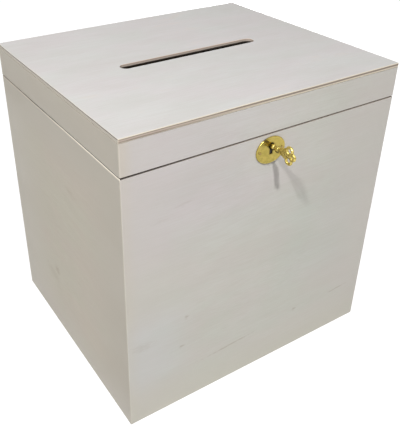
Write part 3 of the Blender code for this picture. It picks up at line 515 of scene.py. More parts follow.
class Nodes:
    """Builds a node tree: add() places a node, and link() joins a socket to an input."""

    def __init__(self, tree):
        self.tree = tree

    def add(self, kind, inputs=None, **settings):
        node = self.tree.nodes.new(kind)
        for key, value in settings.items():
            setattr(node, key, value)
        for key, value in (inputs or {}).items():
            self.link(value, node.inputs[key])
        return node

    def link(self, value, socket):
        if isinstance(value, bpy.types.NodeSocket):
            self.tree.links.new(value, socket)
        elif socket.type == "RGBA":
            socket.default_value = (*value, 1.0) if len(value) == 3 else tuple(value)
        else:
            socket.default_value = value

    def math(self, operation, a, b=0.0, clamp=False):
        node = self.add("ShaderNodeMath", {0: a, 1: b}, operation=operation, use_clamp=clamp)
        return node.outputs[0]

    def mix(self, factor, a, b, blend="MIX"):
        node = self.add("ShaderNodeMix", data_type="RGBA", blend_type=blend)
        for index, value in ((0, factor), (6, a), (7, b)):
            self.link(value, node.inputs[index])
        return node.outputs[2]

    def ramp(self, value, low, high, to_low=0.0, to_high=1.0):
        inputs = {0: value, 1: low, 2: high, 3: to_low, 4: to_high}
        return self.add("ShaderNodeMapRange", inputs, interpolation_type="SMOOTHSTEP").outputs[0]

    def stretch(self, vector, scale, shift=(0.0, 0.0, 0.0)):
        inputs = {"Vector": vector, "Scale": scale, "Location": shift}
        return self.add("ShaderNodeMapping", inputs).outputs[0]

    def noise(self, vector, scale, detail, roughness=0.5, shift=(0.0, 0.0, 0.0)):
        """Noise between 0 and 1, with a scale for each axis."""
        stretched = self.stretch(vector, scale, shift)
        inputs = {"Vector": stretched, "Scale": 1.0, "Detail": detail, "Roughness": roughness}
        return self.add("ShaderNodeTexNoise", inputs).outputs["Fac"]

    def parts(self, vector):
        return self.add("ShaderNodeSeparateXYZ", {0: vector}).outputs

    def point(self, x, y, z):
        return self.add("ShaderNodeCombineXYZ", {0: x, 1: y, 2: z}).outputs[0]

    def vector_math(self, operation, a, b=(0.0, 0.0, 0.0)):
        return self.add("ShaderNodeVectorMath", {0: a, 1: b}, operation=operation).outputs

    def group(self, name, inputs):
        """Place a node group with its own inputs."""
        return self.add("ShaderNodeGroup", inputs, node_tree=bpy.data.node_groups[name]).outputs

    def plus(self, a, b):
        return self.math("ADD", a, b)

    def minus(self, a, b):
        return self.math("SUBTRACT", a, b)

    def times(self, a, b):
        return self.math("MULTIPLY", a, b)

    def absolute(self, a):
        return self.math("ABSOLUTE", a)

    def larger(self, a, b):
        return self.math("MAXIMUM", a, b)

    def sum_of(self, first, second):
        """The sum of two values, each given with its share."""
        return self.plus(self.times(*first), self.times(*second))

    def over(self, below, above, mask, strength):
        """A colour over another where the mask is 1, at a strength."""
        return self.mix(self.times(mask, strength), below, above)

    def tinted(self, colour, cast, mask=1.0):
        """A colour multiplied by a cast where the mask is 1."""
        return self.mix(mask, colour, cast, "MULTIPLY")


def make_group(name, inputs, outputs):
    """A node group whose outputs are masks and values, and the helper that fills it.

    Inputs are given with their defaults. A number makes a value socket, and None or three numbers a
    vector socket.
    """
    tree = bpy.data.node_groups.new(name, "ShaderNodeTree")
    for label, default in inputs.items():
        kind = "NodeSocketFloat" if isinstance(default, float) else "NodeSocketVector"
        socket = tree.interface.new_socket(name=label, in_out="INPUT", socket_type=kind)
        if default is not None:
            socket.default_value = default
    for label in outputs:
        tree.interface.new_socket(name=label, in_out="OUTPUT", socket_type="NodeSocketFloat")
    nodes = Nodes(tree)
    return nodes, nodes.add("NodeGroupInput").outputs, nodes.add("NodeGroupOutput").inputs


def make_material(name, metallic=0.0):
    """A material with one Principled shader, whose metallic number is the same all over."""
    material = bpy.data.materials.new(name)
    material.use_nodes = True
    shader = material.node_tree.nodes["Principled BSDF"]
    shader.inputs["Metallic"].default_value = metallic
    nodes = Nodes(material.node_tree)
    place_out = nodes.add("ShaderNodeTexCoord").outputs["Object"]
    return material, nodes, shader.inputs, place_out


def join_finish(nodes, shader, colour, roughness, height, strength, distance):
    """Join a colour, a roughness and a bump, from a height between 0 and 1, to a shader."""
    inputs = {"Height": height, "Strength": strength, "Distance": distance}
    bump = nodes.add("ShaderNodeBump", inputs).outputs["Normal"]
    for value, label in ((colour, "Base Color"), (roughness, "Roughness"), (bump, "Normal")):
        nodes.link(value, shader[label])


def build_grain_group():
    """Fine wood grain along X: streaks a fraction of a millimetre across and some centimetres long.

    Streaks are noise on a point whose length along X is squeezed; slow waves bend them. Fibres are
    the same noise drawn finer, and with the fine streaks they give the height. Knots are small dark
    rings round a few scattered cells. The tint is a slow cloud, hardly drawn out, that tells where
    the wash leans to pink rather than to grey green.
    """
    outputs = ("Streaks", "Mottle", "Tint", "Fibres", "Knot Mask", "Height")
    nodes, given, out = make_group("Wood Grain", {"Place": None, "Knots": 0.5}, outputs)
    point = given["Place"]
    bend = nodes.noise(point, (3.0, 9.0, 9.0), 2.0)
    sway = nodes.times(nodes.minus(bend, 0.5), 0.02)
    x, y, z = nodes.parts(point)
    swayed = nodes.point(x, nodes.plus(y, sway), nodes.plus(z, sway))
    fine = nodes.noise(swayed, (18.0, 900.0, 900.0), 3.0, 0.6)
    fibres = nodes.noise(swayed, (26.0, 2100.0, 2100.0), 2.0, 0.6)
    broad = nodes.noise(swayed, (9.0, 90.0, 90.0), 3.0, 0.55)
    mottle = nodes.noise(swayed, (11.0, 30.0, 30.0), 4.0, 0.62)
    tint = nodes.noise(swayed, (15.0, 24.0, 24.0), 3.0, 0.55, (3.0, 5.0, 7.0))
    cells = nodes.add(
        "ShaderNodeTexVoronoi",
        {"Vector": nodes.stretch(swayed, (5.0, 11.0, 11.0)), "Scale": 1.0, "Randomness": 1.0},
    )
    chance = nodes.parts(cells.outputs["Color"])[0]
    picked = nodes.math("LESS_THAN", chance, given["Knots"])
    ring = nodes.ramp(cells.outputs["Distance"], 0.012, 0.045, 1.0, 0.0)
    nodes.link(nodes.ramp(nodes.sum_of((fine, 0.45), (broad, 0.55)), 0.36, 0.64), out["Streaks"])
    nodes.link(nodes.ramp(mottle, 0.30, 0.70), out["Mottle"])
    nodes.link(nodes.ramp(tint, 0.34, 0.66), out["Tint"])
    nodes.link(nodes.ramp(fibres, 0.36, 0.64), out["Fibres"])
    nodes.link(nodes.times(picked, ring), out["Knot Mask"])
    nodes.link(nodes.sum_of((fine, 0.5), (fibres, 0.5)), out["Height"])


def build_edge_group():
    """How near a point is to the closest edge of a box: 1 on the edge, fading to 0 at the given width.

    With d the distances to the nearest x, y and z faces, an edge's distance is the smallest of the
    three larger-of-two values.
    """
    half_size = (0.145, 0.125, 0.15)
    inputs = {"Place": None, "Centre": (0.0, 0.0, 0.15), "Half Size": half_size, "Width": 0.002}
    nodes, given, out = make_group("Edge Wear", inputs, ["Wear"])
    offset = nodes.vector_math("SUBTRACT", given["Place"], given["Centre"])[0]
    size = nodes.vector_math("ABSOLUTE", offset)[0]
    x, y, z = nodes.parts(nodes.vector_math("SUBTRACT", given["Half Size"], size)[0])
    pairs = [nodes.larger(a, b) for a, b in ((x, y), (y, z), (x, z))]
    nearest = nodes.math("MINIMUM", nodes.math("MINIMUM", pairs[0], pairs[1]), pairs[2])
    grit = nodes.noise(given["Place"], (60.0, 60.0, 60.0), 3.0)
    width = nodes.times(given["Width"], nodes.ramp(grit, 0.25, 0.75, 0.45, 1.3))
    fade = nodes.math("SUBTRACT", 1.0, nodes.math("DIVIDE", nearest, width), clamp=True)
    nodes.link(fade, out["Wear"])


def build_mark_group():
    """A dark streak or knot: an ellipse round a middle, drawn out along the grain and torn by noise.

    With u the distance along the grain over the half length, and v the distance across it from a line
    of the given slope over the half height, the mask falls from 1 to 0 as sqrt(u^2 + v^2) grows to 1.
    """
    inputs = {"Along": 0.0, "Up": 0.0, "Half Length": 0.01, "Half Height": 0.001, "Slope": 0.0}
    nodes, given, out = make_group("Wood Mark", inputs, ["Mask"])
    rise = nodes.times(given["Along"], given["Slope"])
    u = nodes.math("DIVIDE", given["Along"], given["Half Length"])
    v = nodes.math("DIVIDE", nodes.minus(given["Up"], rise), given["Half Height"])
    reach = nodes.math("SQRT", nodes.sum_of((u, u), (v, v)))
    flat = nodes.point(given["Along"], given["Up"], 0.0)
    torn = nodes.noise(flat, (160.0, 500.0, 1.0), 2.0)
    reach = nodes.plus(reach, nodes.ramp(torn, 0.3, 0.7, 0.0, 0.5))
    nodes.link(nodes.ramp(reach, 0.30, 1.0, 1.0, 0.0), out["Mask"])


def build_metal_group():
    """Fine scratches and smudges of handled metal: a smudge mask and a scratch height."""
    inputs = {"Place": None, "Scale": 1.0}
    nodes, given, out = make_group("Handled Metal", inputs, ("Smudge", "Scratches"))
    scaled = nodes.add("ShaderNodeVectorMath", {0: given["Place"], 3: given["Scale"]}, operation="SCALE")
    point = scaled.outputs[0]
    smudge = nodes.noise(point, (240.0, 240.0, 240.0), 3.0, 0.55)
    scratch = nodes.noise(point, (300.0, 300.0, 5200.0), 2.0, 0.5)
    nodes.link(nodes.ramp(smudge, 0.35, 0.70), out["Smudge"])
    nodes.link(scratch, out["Scratches"])


# Dark marks on the boards: where along the board, height, half length, half height, slope, strength
MARKS = {
    "front_panel": (
        (-0.032, 0.0430, 0.056, 0.0014, 0.06, 0.46),
        (0.112, 0.0505, 0.024, 0.0016, 0.06, 0.40),
        (-0.084, 0.1050, 0.0040, 0.0040, 0.0, 0.34),
        (-0.089, 0.0715, 0.0055, 0.0028, 0.0, 0.40),
        (0.051, 0.0500, 0.0050, 0.0036, 0.0, 0.34),
        (-0.088, 0.2275, 0.016, 0.0030, 0.10, 0.12),
        (-0.110, 0.2180, 0.016, 0.0026, 0.0, 0.09),
        (-0.130, 0.0920, 0.022, 0.0080, -0.10, 0.14),
    ),
    "left_panel": (
        (0.028, 0.0820, 0.0110, 0.0085, 0.0, 0.36),
        (0.040, 0.0700, 0.030, 0.0120, 0.1, 0.16),
        (-0.028, 0.2050, 0.022, 0.0060, 0.1, 0.14),
    ),
    "back_panel": (
        (0.045, 0.1900, 0.0040, 0.0028, 0.0, 0.34),
        (-0.060, 0.0800, 0.030, 0.0010, 0.05, 0.30),
    ),
    "right_panel": (
        (0.030, 0.1300, 0.0036, 0.0026, 0.0, 0.34),
        (-0.020, 0.2100, 0.040, 0.0012, -0.04, 0.26),
    ),
}

# Soft casts of the wash on the front and back: middle along the board, how far from there the cast
# starts and stops to fade, middle height, the same again upwards and downwards, and the cast's colour
CASTS = (
    (-0.070, 0.020, 0.140, 0.2675, 0.040, 0.120, (1.010, 0.985, 1.045)),
    (0.110, 0.030, 0.100, 0.2675, 0.050, 0.120, (0.965, 0.965, 0.970)),
    (-0.125, 0.010, 0.060, 0.0800, 0.020, 0.060, (1.000, 1.030, 1.070)),
    (0.070, 0.020, 0.070, 0.1400, 0.030, 0.070, (0.965, 0.990, 0.990)),
)

# Shades that fade with the distance from a line: strength on the line, how far from it the shade
# starts and stops to fade, and the shade as shares of the wash's own colour
FADES = {
    "front end": (0.60, 0.000, 0.100, (1.000, 0.955, 0.955)),
    "body corner": (0.30, 0.001, 0.014, (1.000, 0.930, 0.820)),
    "lid corner": (0.65, 0.001, 0.014, (1.000, 0.930, 0.820)),
    "front foot": (0.70, 0.000, 0.055, (0.985, 0.965, 0.905)),
    "side corner": (0.80, 0.000, 0.006, (0.860, 0.840, 0.810)),
    "side back": (1.00, 0.000, 0.105, (1.025, 1.040, 1.060)),
    # Painted light and shade on the sides: paler towards the back, darker along the front and the seam
    "side front": (1.00, 0.000, 0.090, (0.910, 0.908, 0.908)),
    "side seam": (1.00, 0.000, 0.060, (0.910, 0.908, 0.908)),
    "side foot": (0.70, 0.000, 0.055, (1.000, 1.015, 1.055)),
}

# Shares of the wash's colour: dark and pale mottle, then streaks and knots with their strengths
BOARD_WASH = {
    "mottle": ((0.955, 0.950, 0.940), (1.015, 1.015, 1.015)),
    "Streaks": ((0.90, 0.86, 0.80), 0.15),
    "Knot Mask": ((0.52, 0.42, 0.33), 0.45),
}
SHEET_WASH = {
    "mottle": ((0.950, 0.940, 0.925), (1.030, 1.030, 1.030)),
    "Streaks": ((0.93, 0.90, 0.86), 0.17),
    "Knot Mask": ((0.60, 0.50, 0.40), 0.35),
}

# What the grain multiplies every wash by, where each of its values is 0 and where it is 1
GRAIN_CASTS = {
    "Tint": ((0.980, 1.000, 0.985), (1.000, 0.980, 0.990)),
    "Fibres": ((1.035, 1.035, 1.035), (0.985, 0.975, 0.960)),
}

# How far below the face the wash lasts, then has gone: on the boards and on the lid sheet
BOARD_SKIN = (0.00025, 0.00060)
SHEET_SKIN = (0.00010, 0.00030)

# Painted shade on the lid sheet, darker towards the front right: the share of y that is taken from x, the
# two values between which it darkens, and the brightness at each
SHEET_PAINTED_SHADE = (0.50, (-0.21, 0.21), (0.985, 0.900))

# How far from the keyhole's middle the wood is burnt and painted in deep shade, then only bare
KEYHOLE_SCORCH_AND_SHADE = (0.0060, 0.0075)

# Between which places along Y the cream lips, worn wood brightened as a painted highlight, end, from the
# front
LIP_ENDS = (-0.06, 0.06)

# Between which places along a board the painted shade on its rim turns pale, by the axis that its outer face
# looks along
SEAM_SHADE_CLEARS = {0: (-0.02, 0.10), 1: (-0.17, 0.00)}


def toned(base, *shares):
    """A colour with each channel multiplied, and none past white."""
    return tuple(min(1.0, value * part) for value, part in zip(base, shares))


def limewash(nodes, wash, marks, look):
    """The wash's colour: mottle, then the grain's casts, then streaks and knots over them."""
    shade = nodes.mix(marks["Mottle"], *(toned(wash, *shares) for shares in look["mottle"]))
    for output, (first, last) in GRAIN_CASTS.items():
        shade = nodes.tinted(shade, nodes.mix(marks[output], first, last))
    for output in ("Streaks", "Knot Mask"):
        shares, strength = look[output]
        shade = nodes.over(shade, toned(wash, *shares), marks[output], strength)
    return shade


class BoardFinish:
    """The finish of one board: pale wash on its outer face, barer wood everywhere else.

    outside is the (axis, side) of the face that carries the wash, and seam the height of the rim that
    meets the other half of the box, or None. The board's length runs along the other flat axis.
    """

    def __init__(self, name, wash, low, high, outside, seam=None):
        self.material, self.nodes, self.shader, point = make_material(name)
        self.wash = wash
        self.low = low
        self.high = high
        self.axis, side = outside
        self.face = (high if side > 0 else low)[self.axis]
        self.seam = seam
        self.at = self.nodes.parts(point)
        grain = self.nodes.point(self.at[1], self.at[0], self.at[2]) if self.axis == 0 else point
        self.marks = self.nodes.group("Wood Grain", {"Place": grain, "Knots": 0.10})
        edges = {"Place": point, "Centre": (low + high) / 2, "Half Size": (high - low) / 2}
        self.wear = self.nodes.group("Edge Wear", {**edges, "Width": wood().wear_width})["Wear"]
        self.washed = self.near(self.axis, self.face, *BOARD_SKIN)

    def distance(self, axis, level):
        """How far the shaded point is from a level on an axis."""
        return self.nodes.absolute(self.nodes.minus(self.at[axis], level))

    def near(self, axis, level, close, far):
        """1 up to close from a level on an axis, falling to 0 at far."""
        return self.nodes.ramp(self.distance(axis, level), close, far, 1.0, 0.0)

    def fade(self, name, distance):
        """How strongly a named shade covers at a distance from its line."""
        strength, close, far, _ = FADES[name]
        return self.nodes.ramp(distance, close, far, strength, 0.0)

    def shaded(self, shade, name, mask):
        """A named shade over the wash where the mask is 1."""
        return self.nodes.mix(mask, shade, toned(self.wash, *FADES[name][3]))

    def from_end(self):
        """How far the point is from the nearer end of the board."""
        along = 1 - self.axis
        half = (self.high[along] - self.low[along]) / 2
        return self.nodes.minus(half, self.nodes.absolute(self.at[along]))

    def front_shades(self, shade):
        """Pinker ends and a beige left corner, then the soft casts."""
        nodes = self.nodes
        shade = self.shaded(shade, "front end", self.fade("front end", self.from_end()))
        corner = "body corner" if self.high[2] == self.seam else "lid corner"
        from_left = nodes.minus(self.at[0], self.low[0])
        shade = self.shaded(shade, corner, self.fade(corner, from_left))
        for along, narrow, wide, height, short, tall, cast in CASTS:
            mask = nodes.times(self.near(0, along, narrow, wide), self.near(2, height, short, tall))
            shade = nodes.tinted(shade, cast, mask)
        return shade

    def side_shades(self, shade):
        """Darker corners, then painted light that pales the back, and one painted shade along the front and
        along the seam.
        """
        shade = self.shaded(shade, "side corner", self.fade("side corner", self.from_end()))
        from_back = self.distance(1, self.high[1])
        shade = self.shaded(shade, "side back", self.fade("side back", from_back))
        at_front = self.fade("side front", self.distance(1, self.low[1]))
        at_seam = self.fade("side seam", self.distance(2, self.seam))
        return self.shaded(shade, "side seam", self.nodes.larger(at_front, at_seam))

    def marked(self, shade, marked):
        """The board's own dark marks, and the shade of its foot."""
        nodes = self.nodes
        knot, _ = BOARD_WASH["Knot Mask"]
        for along, height, half_length, half_height, slope, strength in marked:
            mark = {
                "Along": nodes.minus(self.at[1 - self.axis], along),
                "Up": nodes.minus(self.at[2], height),
                "Half Length": half_length,
                "Half Height": half_height,
                "Slope": slope,
            }
            mask = nodes.group("Wood Mark", mark)["Mask"]
            shade = nodes.over(shade, toned(self.wash, *knot), mask, strength)
        foot = "front foot" if self.axis == 1 else "side foot"
        return self.shaded(shade, foot, self.fade(foot, self.at[2]))

    def bare(self, keyhole):
        """Unfinished wood with its streaks, and charred and painted in deep shade round the keyhole."""
        nodes = self.nodes
        settings = wood()
        bare = nodes.mix(self.marks["Streaks"], settings.bare, toned(settings.bare, 0.80, 0.76, 0.70))
        if keyhole:
            flat = nodes.point(self.at[0], 0.0, self.at[2])
            middle = (KEY_X, 0.0, KEY_Z + KEYHOLE_MIDDLE[1])
            away = nodes.vector_math("DISTANCE", flat, middle)["Value"]
            # Charred wood darkened as painted shade inside the keyhole
            bare = nodes.mix(nodes.ramp(away, *KEYHOLE_SCORCH_AND_SHADE, 1.0, 0.0), bare, settings.burnt)
        return bare

    def rubbed(self, base, worn, lip):
        """Cream wood where the wash has rubbed off the edges; along the seam only on a wall with a lip, where
        it is also a painted highlight.
        """
        nodes = self.nodes
        if self.seam is not None:
            worn = nodes.ramp(self.distance(2, self.seam), 0.001, 0.003, 1.0 if lip else 0.0, worn)
        mask = nodes.times(nodes.times(self.wear, self.washed), worn)
        return nodes.mix(mask, base, wood().worn)

    def rim(self, base, lip):
        """Painted shade on the rim along the seam, paler towards one end, and a cream lip in front, worn wood
        brightened as a painted highlight.
        """
        nodes = self.nodes
        settings = wood()
        edge = settings.seam_radius
        face = self.near(self.axis, self.face, settings.rim_depth, settings.rim_end)
        mask = nodes.times(self.near(2, self.seam, edge * 0.9, edge * 1.4), face)
        clear = nodes.ramp(self.at[1 - self.axis], *SEAM_SHADE_CLEARS[self.axis])
        base = nodes.mix(mask, base, nodes.mix(clear, settings.rim, settings.seam_shade_pale))
        if lip:
            # The lip: worn cream wood brightened as a painted highlight
            edge = settings.lip_radius
            face = self.near(self.axis, self.face, edge * 0.7, edge)
            mask = nodes.times(self.near(2, self.seam, edge * 1.2, edge * 1.7), face)
            to_front = nodes.ramp(self.at[1], *LIP_ENDS, 1.0, 0.0)
            base = nodes.mix(nodes.times(mask, to_front), base, settings.lip)
        return base


def wood_material(name, wash, low, high, outside, worn, seam=None, lip=False, keyhole=False, marked=()):
    """Limewashed board: pale wash with faint grain, mottle and knots outside, barer wood inside.

    worn is how much of the wash has rubbed off the edges, lip whether the upper edge is rubbed cream and
    brightened as a painted highlight, and marked lists the board's own dark marks. BoardFinish tells what
    the rest is.
    """
    board = BoardFinish(name, wash, low, high, outside, seam)
    nodes = board.nodes
    shade = limewash(nodes, wash, board.marks, BOARD_WASH)
    if seam is not None:
        shade = board.front_shades(shade) if board.axis == 1 else board.side_shades(shade)
    if marked:
        shade = board.marked(shade, marked)
    base = board.rubbed(nodes.mix(board.washed, board.bare(keyhole), shade), worn, lip)
    if seam is not None:
        base = board.rim(base, lip)
    roughness = nodes.ramp(board.marks["Mottle"], 0.0, 1.0, 0.58, 0.70)
    join_finish(nodes, board.shader, base, roughness, board.marks["Height"], 0.25, 0.00012)
    return board.material


def sheet_face(nodes, at, marks):
    """The lid sheet's washed face, with painted shade that darkens it a little towards the right and the
    front.
    """
    face = limewash(nodes, wood().sheet, marks, SHEET_WASH)
    share_of_y, ends, brightness = SHEET_PAINTED_SHADE
    away = nodes.minus(at[0], nodes.times(at[1], share_of_y))
    painted_shade = nodes.mix(nodes.ramp(away, *ends), *((value,) * 3 for value in brightness))
    return nodes.tinted(face, painted_shade)


def sheet_cuts(nodes, at, marks, depth):
    """The plies at the front and back edges, at the side edges and on the slot's wall, by their depth.

    Along the front edge the upper brown line widens and the lower one fades from left to right. The
    side edges are washed over below a thin line, and the foot of the slot's wall is painted dark as shade.
    """
    settings = wood()
    low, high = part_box("lid_top_panel")
    thickness = high.z - low.z
    ply = settings.face_ply
    line = settings.glue_ply
    core_wood = settings.core

    def below(level, above, colour_below):
        """Another colour from a depth on, with a boundary that is hardly blurred."""
        past = nodes.ramp(nodes.minus(depth, level), -0.00012, 0.00012)
        return nodes.mix(past, above, colour_below)

    across = nodes.ramp(at[0], -0.13, 0.02)
    core = nodes.over(core_wood, toned(core_wood, 0.86, 0.84, 0.80), marks["Streaks"], 0.5)
    core = nodes.over(core, settings.worn, across, 0.5)
    widened = nodes.plus(nodes.times(across, line * 1.6), ply + line)
    front = below(ply, settings.worn, settings.glue_line)
    front = below(widened, front, core)
    front = below(thickness - ply - line, front, nodes.over(settings.glue_line, settings.worn, across, 0.85))
    front = below(thickness - ply * 0.6, front, toned(settings.worn, 0.92, 0.92, 0.92))

    # A thin dark line, the glue line's colour at half, just below the top of each side edge
    side = below(ply * 0.25, settings.worn, toned(settings.glue_line, 0.50, 0.50, 0.50))
    side = below(ply * 0.25 + line * 1.5, side, toned(settings.side, 0.96, 0.95, 0.95))

    slot = below(ply, toned(core_wood, 1.15, 1.08, 0.98), toned(core_wood, 0.70, 0.70, 0.70))
    slot = below(ply + line, slot, toned(core_wood, 0.95, 0.97, 0.97))
    # Painted shade at the foot of the slot's wall
    slot = below(thickness - ply - line, slot, settings.scorched)
    at_side = nodes.ramp(nodes.absolute(at[0]), high.x - 0.0010, high.x - 0.0005)
    at_front = nodes.ramp(nodes.absolute(at[1]), high.y - 0.0006, high.y - 0.0003)
    return nodes.mix(at_front, nodes.mix(at_side, slot, side), front)


def sheet_material(name):
    """Limewashed plywood: washed faces, and plies that show by their depth at each cut edge."""
    settings = wood()
    material, nodes, shader, point = make_material(name)
    low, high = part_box("lid_top_panel")
    marks = nodes.group("Wood Grain", {"Place": point, "Knots": 0.05})
    at = nodes.parts(point)
    wobble = nodes.times(nodes.minus(marks["Mottle"], 0.5), 0.0003)
    depth = nodes.plus(nodes.minus(high.z, at[2]), wobble)
    skins = (depth, nodes.minus(high.z - low.z, depth))
    upper, under = (nodes.ramp(skin, *SHEET_SKIN, 1.0, 0.0) for skin in skins)
    cuts = sheet_cuts(nodes, at, marks, depth)
    base = nodes.mix(nodes.larger(upper, under), cuts, sheet_face(nodes, at, marks))
    edges = {"Place": point, "Centre": (low + high) / 2, "Half Size": (high - low) / 2, "Width": 0.0012}
    wear = nodes.group("Edge Wear", edges)["Wear"]
    base = nodes.over(base, settings.worn, wear, 0.35)
    roughness = nodes.ramp(marks["Mottle"], 0.0, 1.0, 0.52, 0.64)
    join_finish(nodes, shader, base, roughness, marks["Height"], 0.2, 0.0001)
    return material


def brass_material(name, base, dull, roughness, bump, scale=1.0):
    """Gold coloured metal with duller patches, hairline scratches, and dirt and painted shade where the mesh
    holds them.
    """
    material, nodes, shader, point = make_material(name, metallic=1.0)
    marks = nodes.group("Handled Metal", {"Place": point, "Scale": scale})
    # Dirt and painted shade, read from the mesh
    grime = nodes.add("ShaderNodeAttribute", attribute_name="grime").outputs["Fac"]
    patched = nodes.mix(grime, nodes.mix(marks["Smudge"], base, dull), brass().dirt)
    rougher = nodes.sum_of((marks["Smudge"], 0.10), (grime, 0.25))
    rougher = nodes.plus(rougher, roughness)
    join_finish(nodes, shader, patched, rougher, marks["Scratches"], bump, 0.00003)
    return material


def steel_material(name):
    """Zinc plated pressed steel with a faint drawn grain, and black grease and painted shade where the mesh
    holds them.
    """
    settings = steel()
    material, nodes, shader, point = make_material(name, metallic=1.0)
    marks = nodes.group("Handled Metal", {"Place": point, "Scale": 0.6})
    grime = nodes.add("ShaderNodeAttribute", attribute_name="grime").outputs["Fac"]
    plated = nodes.over(settings.zinc, settings.cut, marks["Smudge"], 0.55)
    # Black grease and painted shade
    greased_and_shaded = nodes.mix(grime, plated, settings.grease)
    roughness = nodes.ramp(marks["Smudge"], 0.0, 1.0, 0.30, 0.48)
    join_finish(nodes, shader, greased_and_shaded, roughness, marks["Scratches"], 0.3, 0.00004)
    return material


def finish(name):
    """A finish by its name, made when it is first asked for.

    Each gold coloured one has its bright and dull colours, roughness, scratch depth and pattern scale.
    """
    if name in bpy.data.materials:
        return bpy.data.materials[name]
    if name == "lid_sheet":
        return sheet_material(name)
    if name == "zinc_steel":
        return steel_material(name)
    settings = brass()
    golds = {
        "plate_gold": (settings.gold, settings.olive, 0.18, 0.12, 1.0),
        "key_gold": (cast_key().gold, cast_key().worn, 0.28, 0.10, 2.2),
        "pin_brass": (settings.pin, settings.dull, 0.36, 0.12, 1.0),
        "satin_brass": (settings.satin, settings.dull, 0.30, 0.35, 1.0),
    }
    return brass_material(name, *golds[name])


# Wooden boards

def board(length, reach, low, high, section, low_edge, high_edge):
    """A mitred board that runs along X with its outer face at y = -reach.

    Outer rows follow a rounded edge of radius e, whose pitch b climbs the edge, and whose plan angle a
    rounds the corner of radius R: x = half - R + (R - e + e cos b) sin a and depth = R - (R - e +
    e cos b) cos a. Inner rows follow the section's (depth, height) points and end at the mitre, where
    x = half - depth. An edge radius of 0 leaves that edge square. Near the mitres each radius shrinks to
    the seam's own, so that neighbouring boards meet.
    """
    settings = wood()
    r = settings.corner_radius
    half = length / 2
    flats = spaced(-1.0, 1.0, 14, HOLD / (half - r))
    swing = np.radians(np.linspace(0.0, 45.0, 5))[1:]
    a = np.concatenate([-swing[::-1], np.zeros(len(flats)), swing])
    base = np.concatenate([-np.ones(len(swing)), flats, np.ones(len(swing))]) * (half - r)
    climb = spaced(low + low_edge, high - high_edge, 8, HOLD)
    steps = np.radians(np.linspace(0.0, 90.0, 5))[1:]
    below = -steps[::-1] if low_edge else np.zeros(0)
    above = steps if high_edge else np.zeros(0)
    pitch = np.concatenate([below, np.zeros(len(climb)), above])
    e = np.concatenate([np.full(len(below), low_edge), np.zeros(len(climb)), np.full(len(above), high_edge)])
    climb = np.concatenate([np.full(len(below), climb[0]), climb, np.full(len(above), climb[-1])])
    to_mitre = np.clip((half - np.abs(base) - r) / settings.mitre_fade, 0.0, 1.0)
    e = e[:, None]
    e = e - np.maximum(e - settings.seam_radius, 0.0) * (1 - to_mitre) * (high_edge == settings.lip_radius)
    b = pitch[:, None]
    ring = r - e + e * np.cos(b)
    x = base + ring * np.sin(a)
    depth = r - ring * np.cos(a)
    curved = np.where(b < 0, low, high) - np.sign(b) * e * (1 - np.abs(np.sin(b)))
    z = np.where(b == 0, climb[:, None], curved)
    outer = np.stack([x, depth, z], -1)
    across = base + r * np.sin(a)
    across = across / across[-1]
    section = np.asarray(section, float)
    inner = np.stack(
        [
            across * (half - section[:, :1]),
            np.repeat(section[:, :1], len(a), axis=1),
            np.repeat(section[:, 1:], len(a), axis=1),
        ],
        -1,
    )
    points = np.concatenate([outer, inner])
    ends = np.zeros(len(a))
    ends[0] = settings.mitre_gap
    ends[-1] = -settings.mitre_gap
    points[..., 0] += ends
    points[..., 1] -= reach
    return points


def rounded(corners, radius, steps=3):
    """A line of (depth, height) points with each inner corner rounded by an arc, ends kept."""
    line = [corners[0]]
    for before, here, after in zip(corners, corners[1:], corners[2:]):
        before, here, after = Vector(before), Vector(here), Vector(after)
        back = (before - here).normalized()
        ahead = (after - here).normalized()
        for t in np.linspace(0.0, 1.0, steps + 1):
            line.append(tuple(here + radius * (back * (1 - t) ** 2 + ahead * t ** 2)))
    line.append(corners[-1])
    return line


def make_board(name, side, body, section, low, high, low_edge, high_edge):
    """One board of the body or the lid, placed by quarter turns about the box's middle."""
    settings = wood()
    quarters = TURNS[side]
    sideways = quarters % 2 == 1
    length, reach = (DEPTH, WIDTH / 2) if sideways else (WIDTH, DEPTH / 2)
    points = turn_about_z(board(length, reach, low, high, section, low_edge, high_edge), quarters)
    outside = (0, 1 if side == "right" else -1) if sideways else (1, 1 if side == "back" else -1)
    material = wood_material(
        f"wood_{name}",
        settings.side if sideways else settings.front,
        Vector((-WIDTH / 2, -DEPTH / 2, low)),
        Vector((WIDTH / 2, DEPTH / 2, high)),
        outside,
        worn=0.10 if sideways else 0.0,
        seam=high if body == "box" else low,
        lip=sideways and body == "box",
        keyhole=name == "front_panel",
        marked=MARKS.get(name, ()),
    )
    return make_piece(name, sheet_of(points, close_rows=True), material, body, WOOD_CRISP)


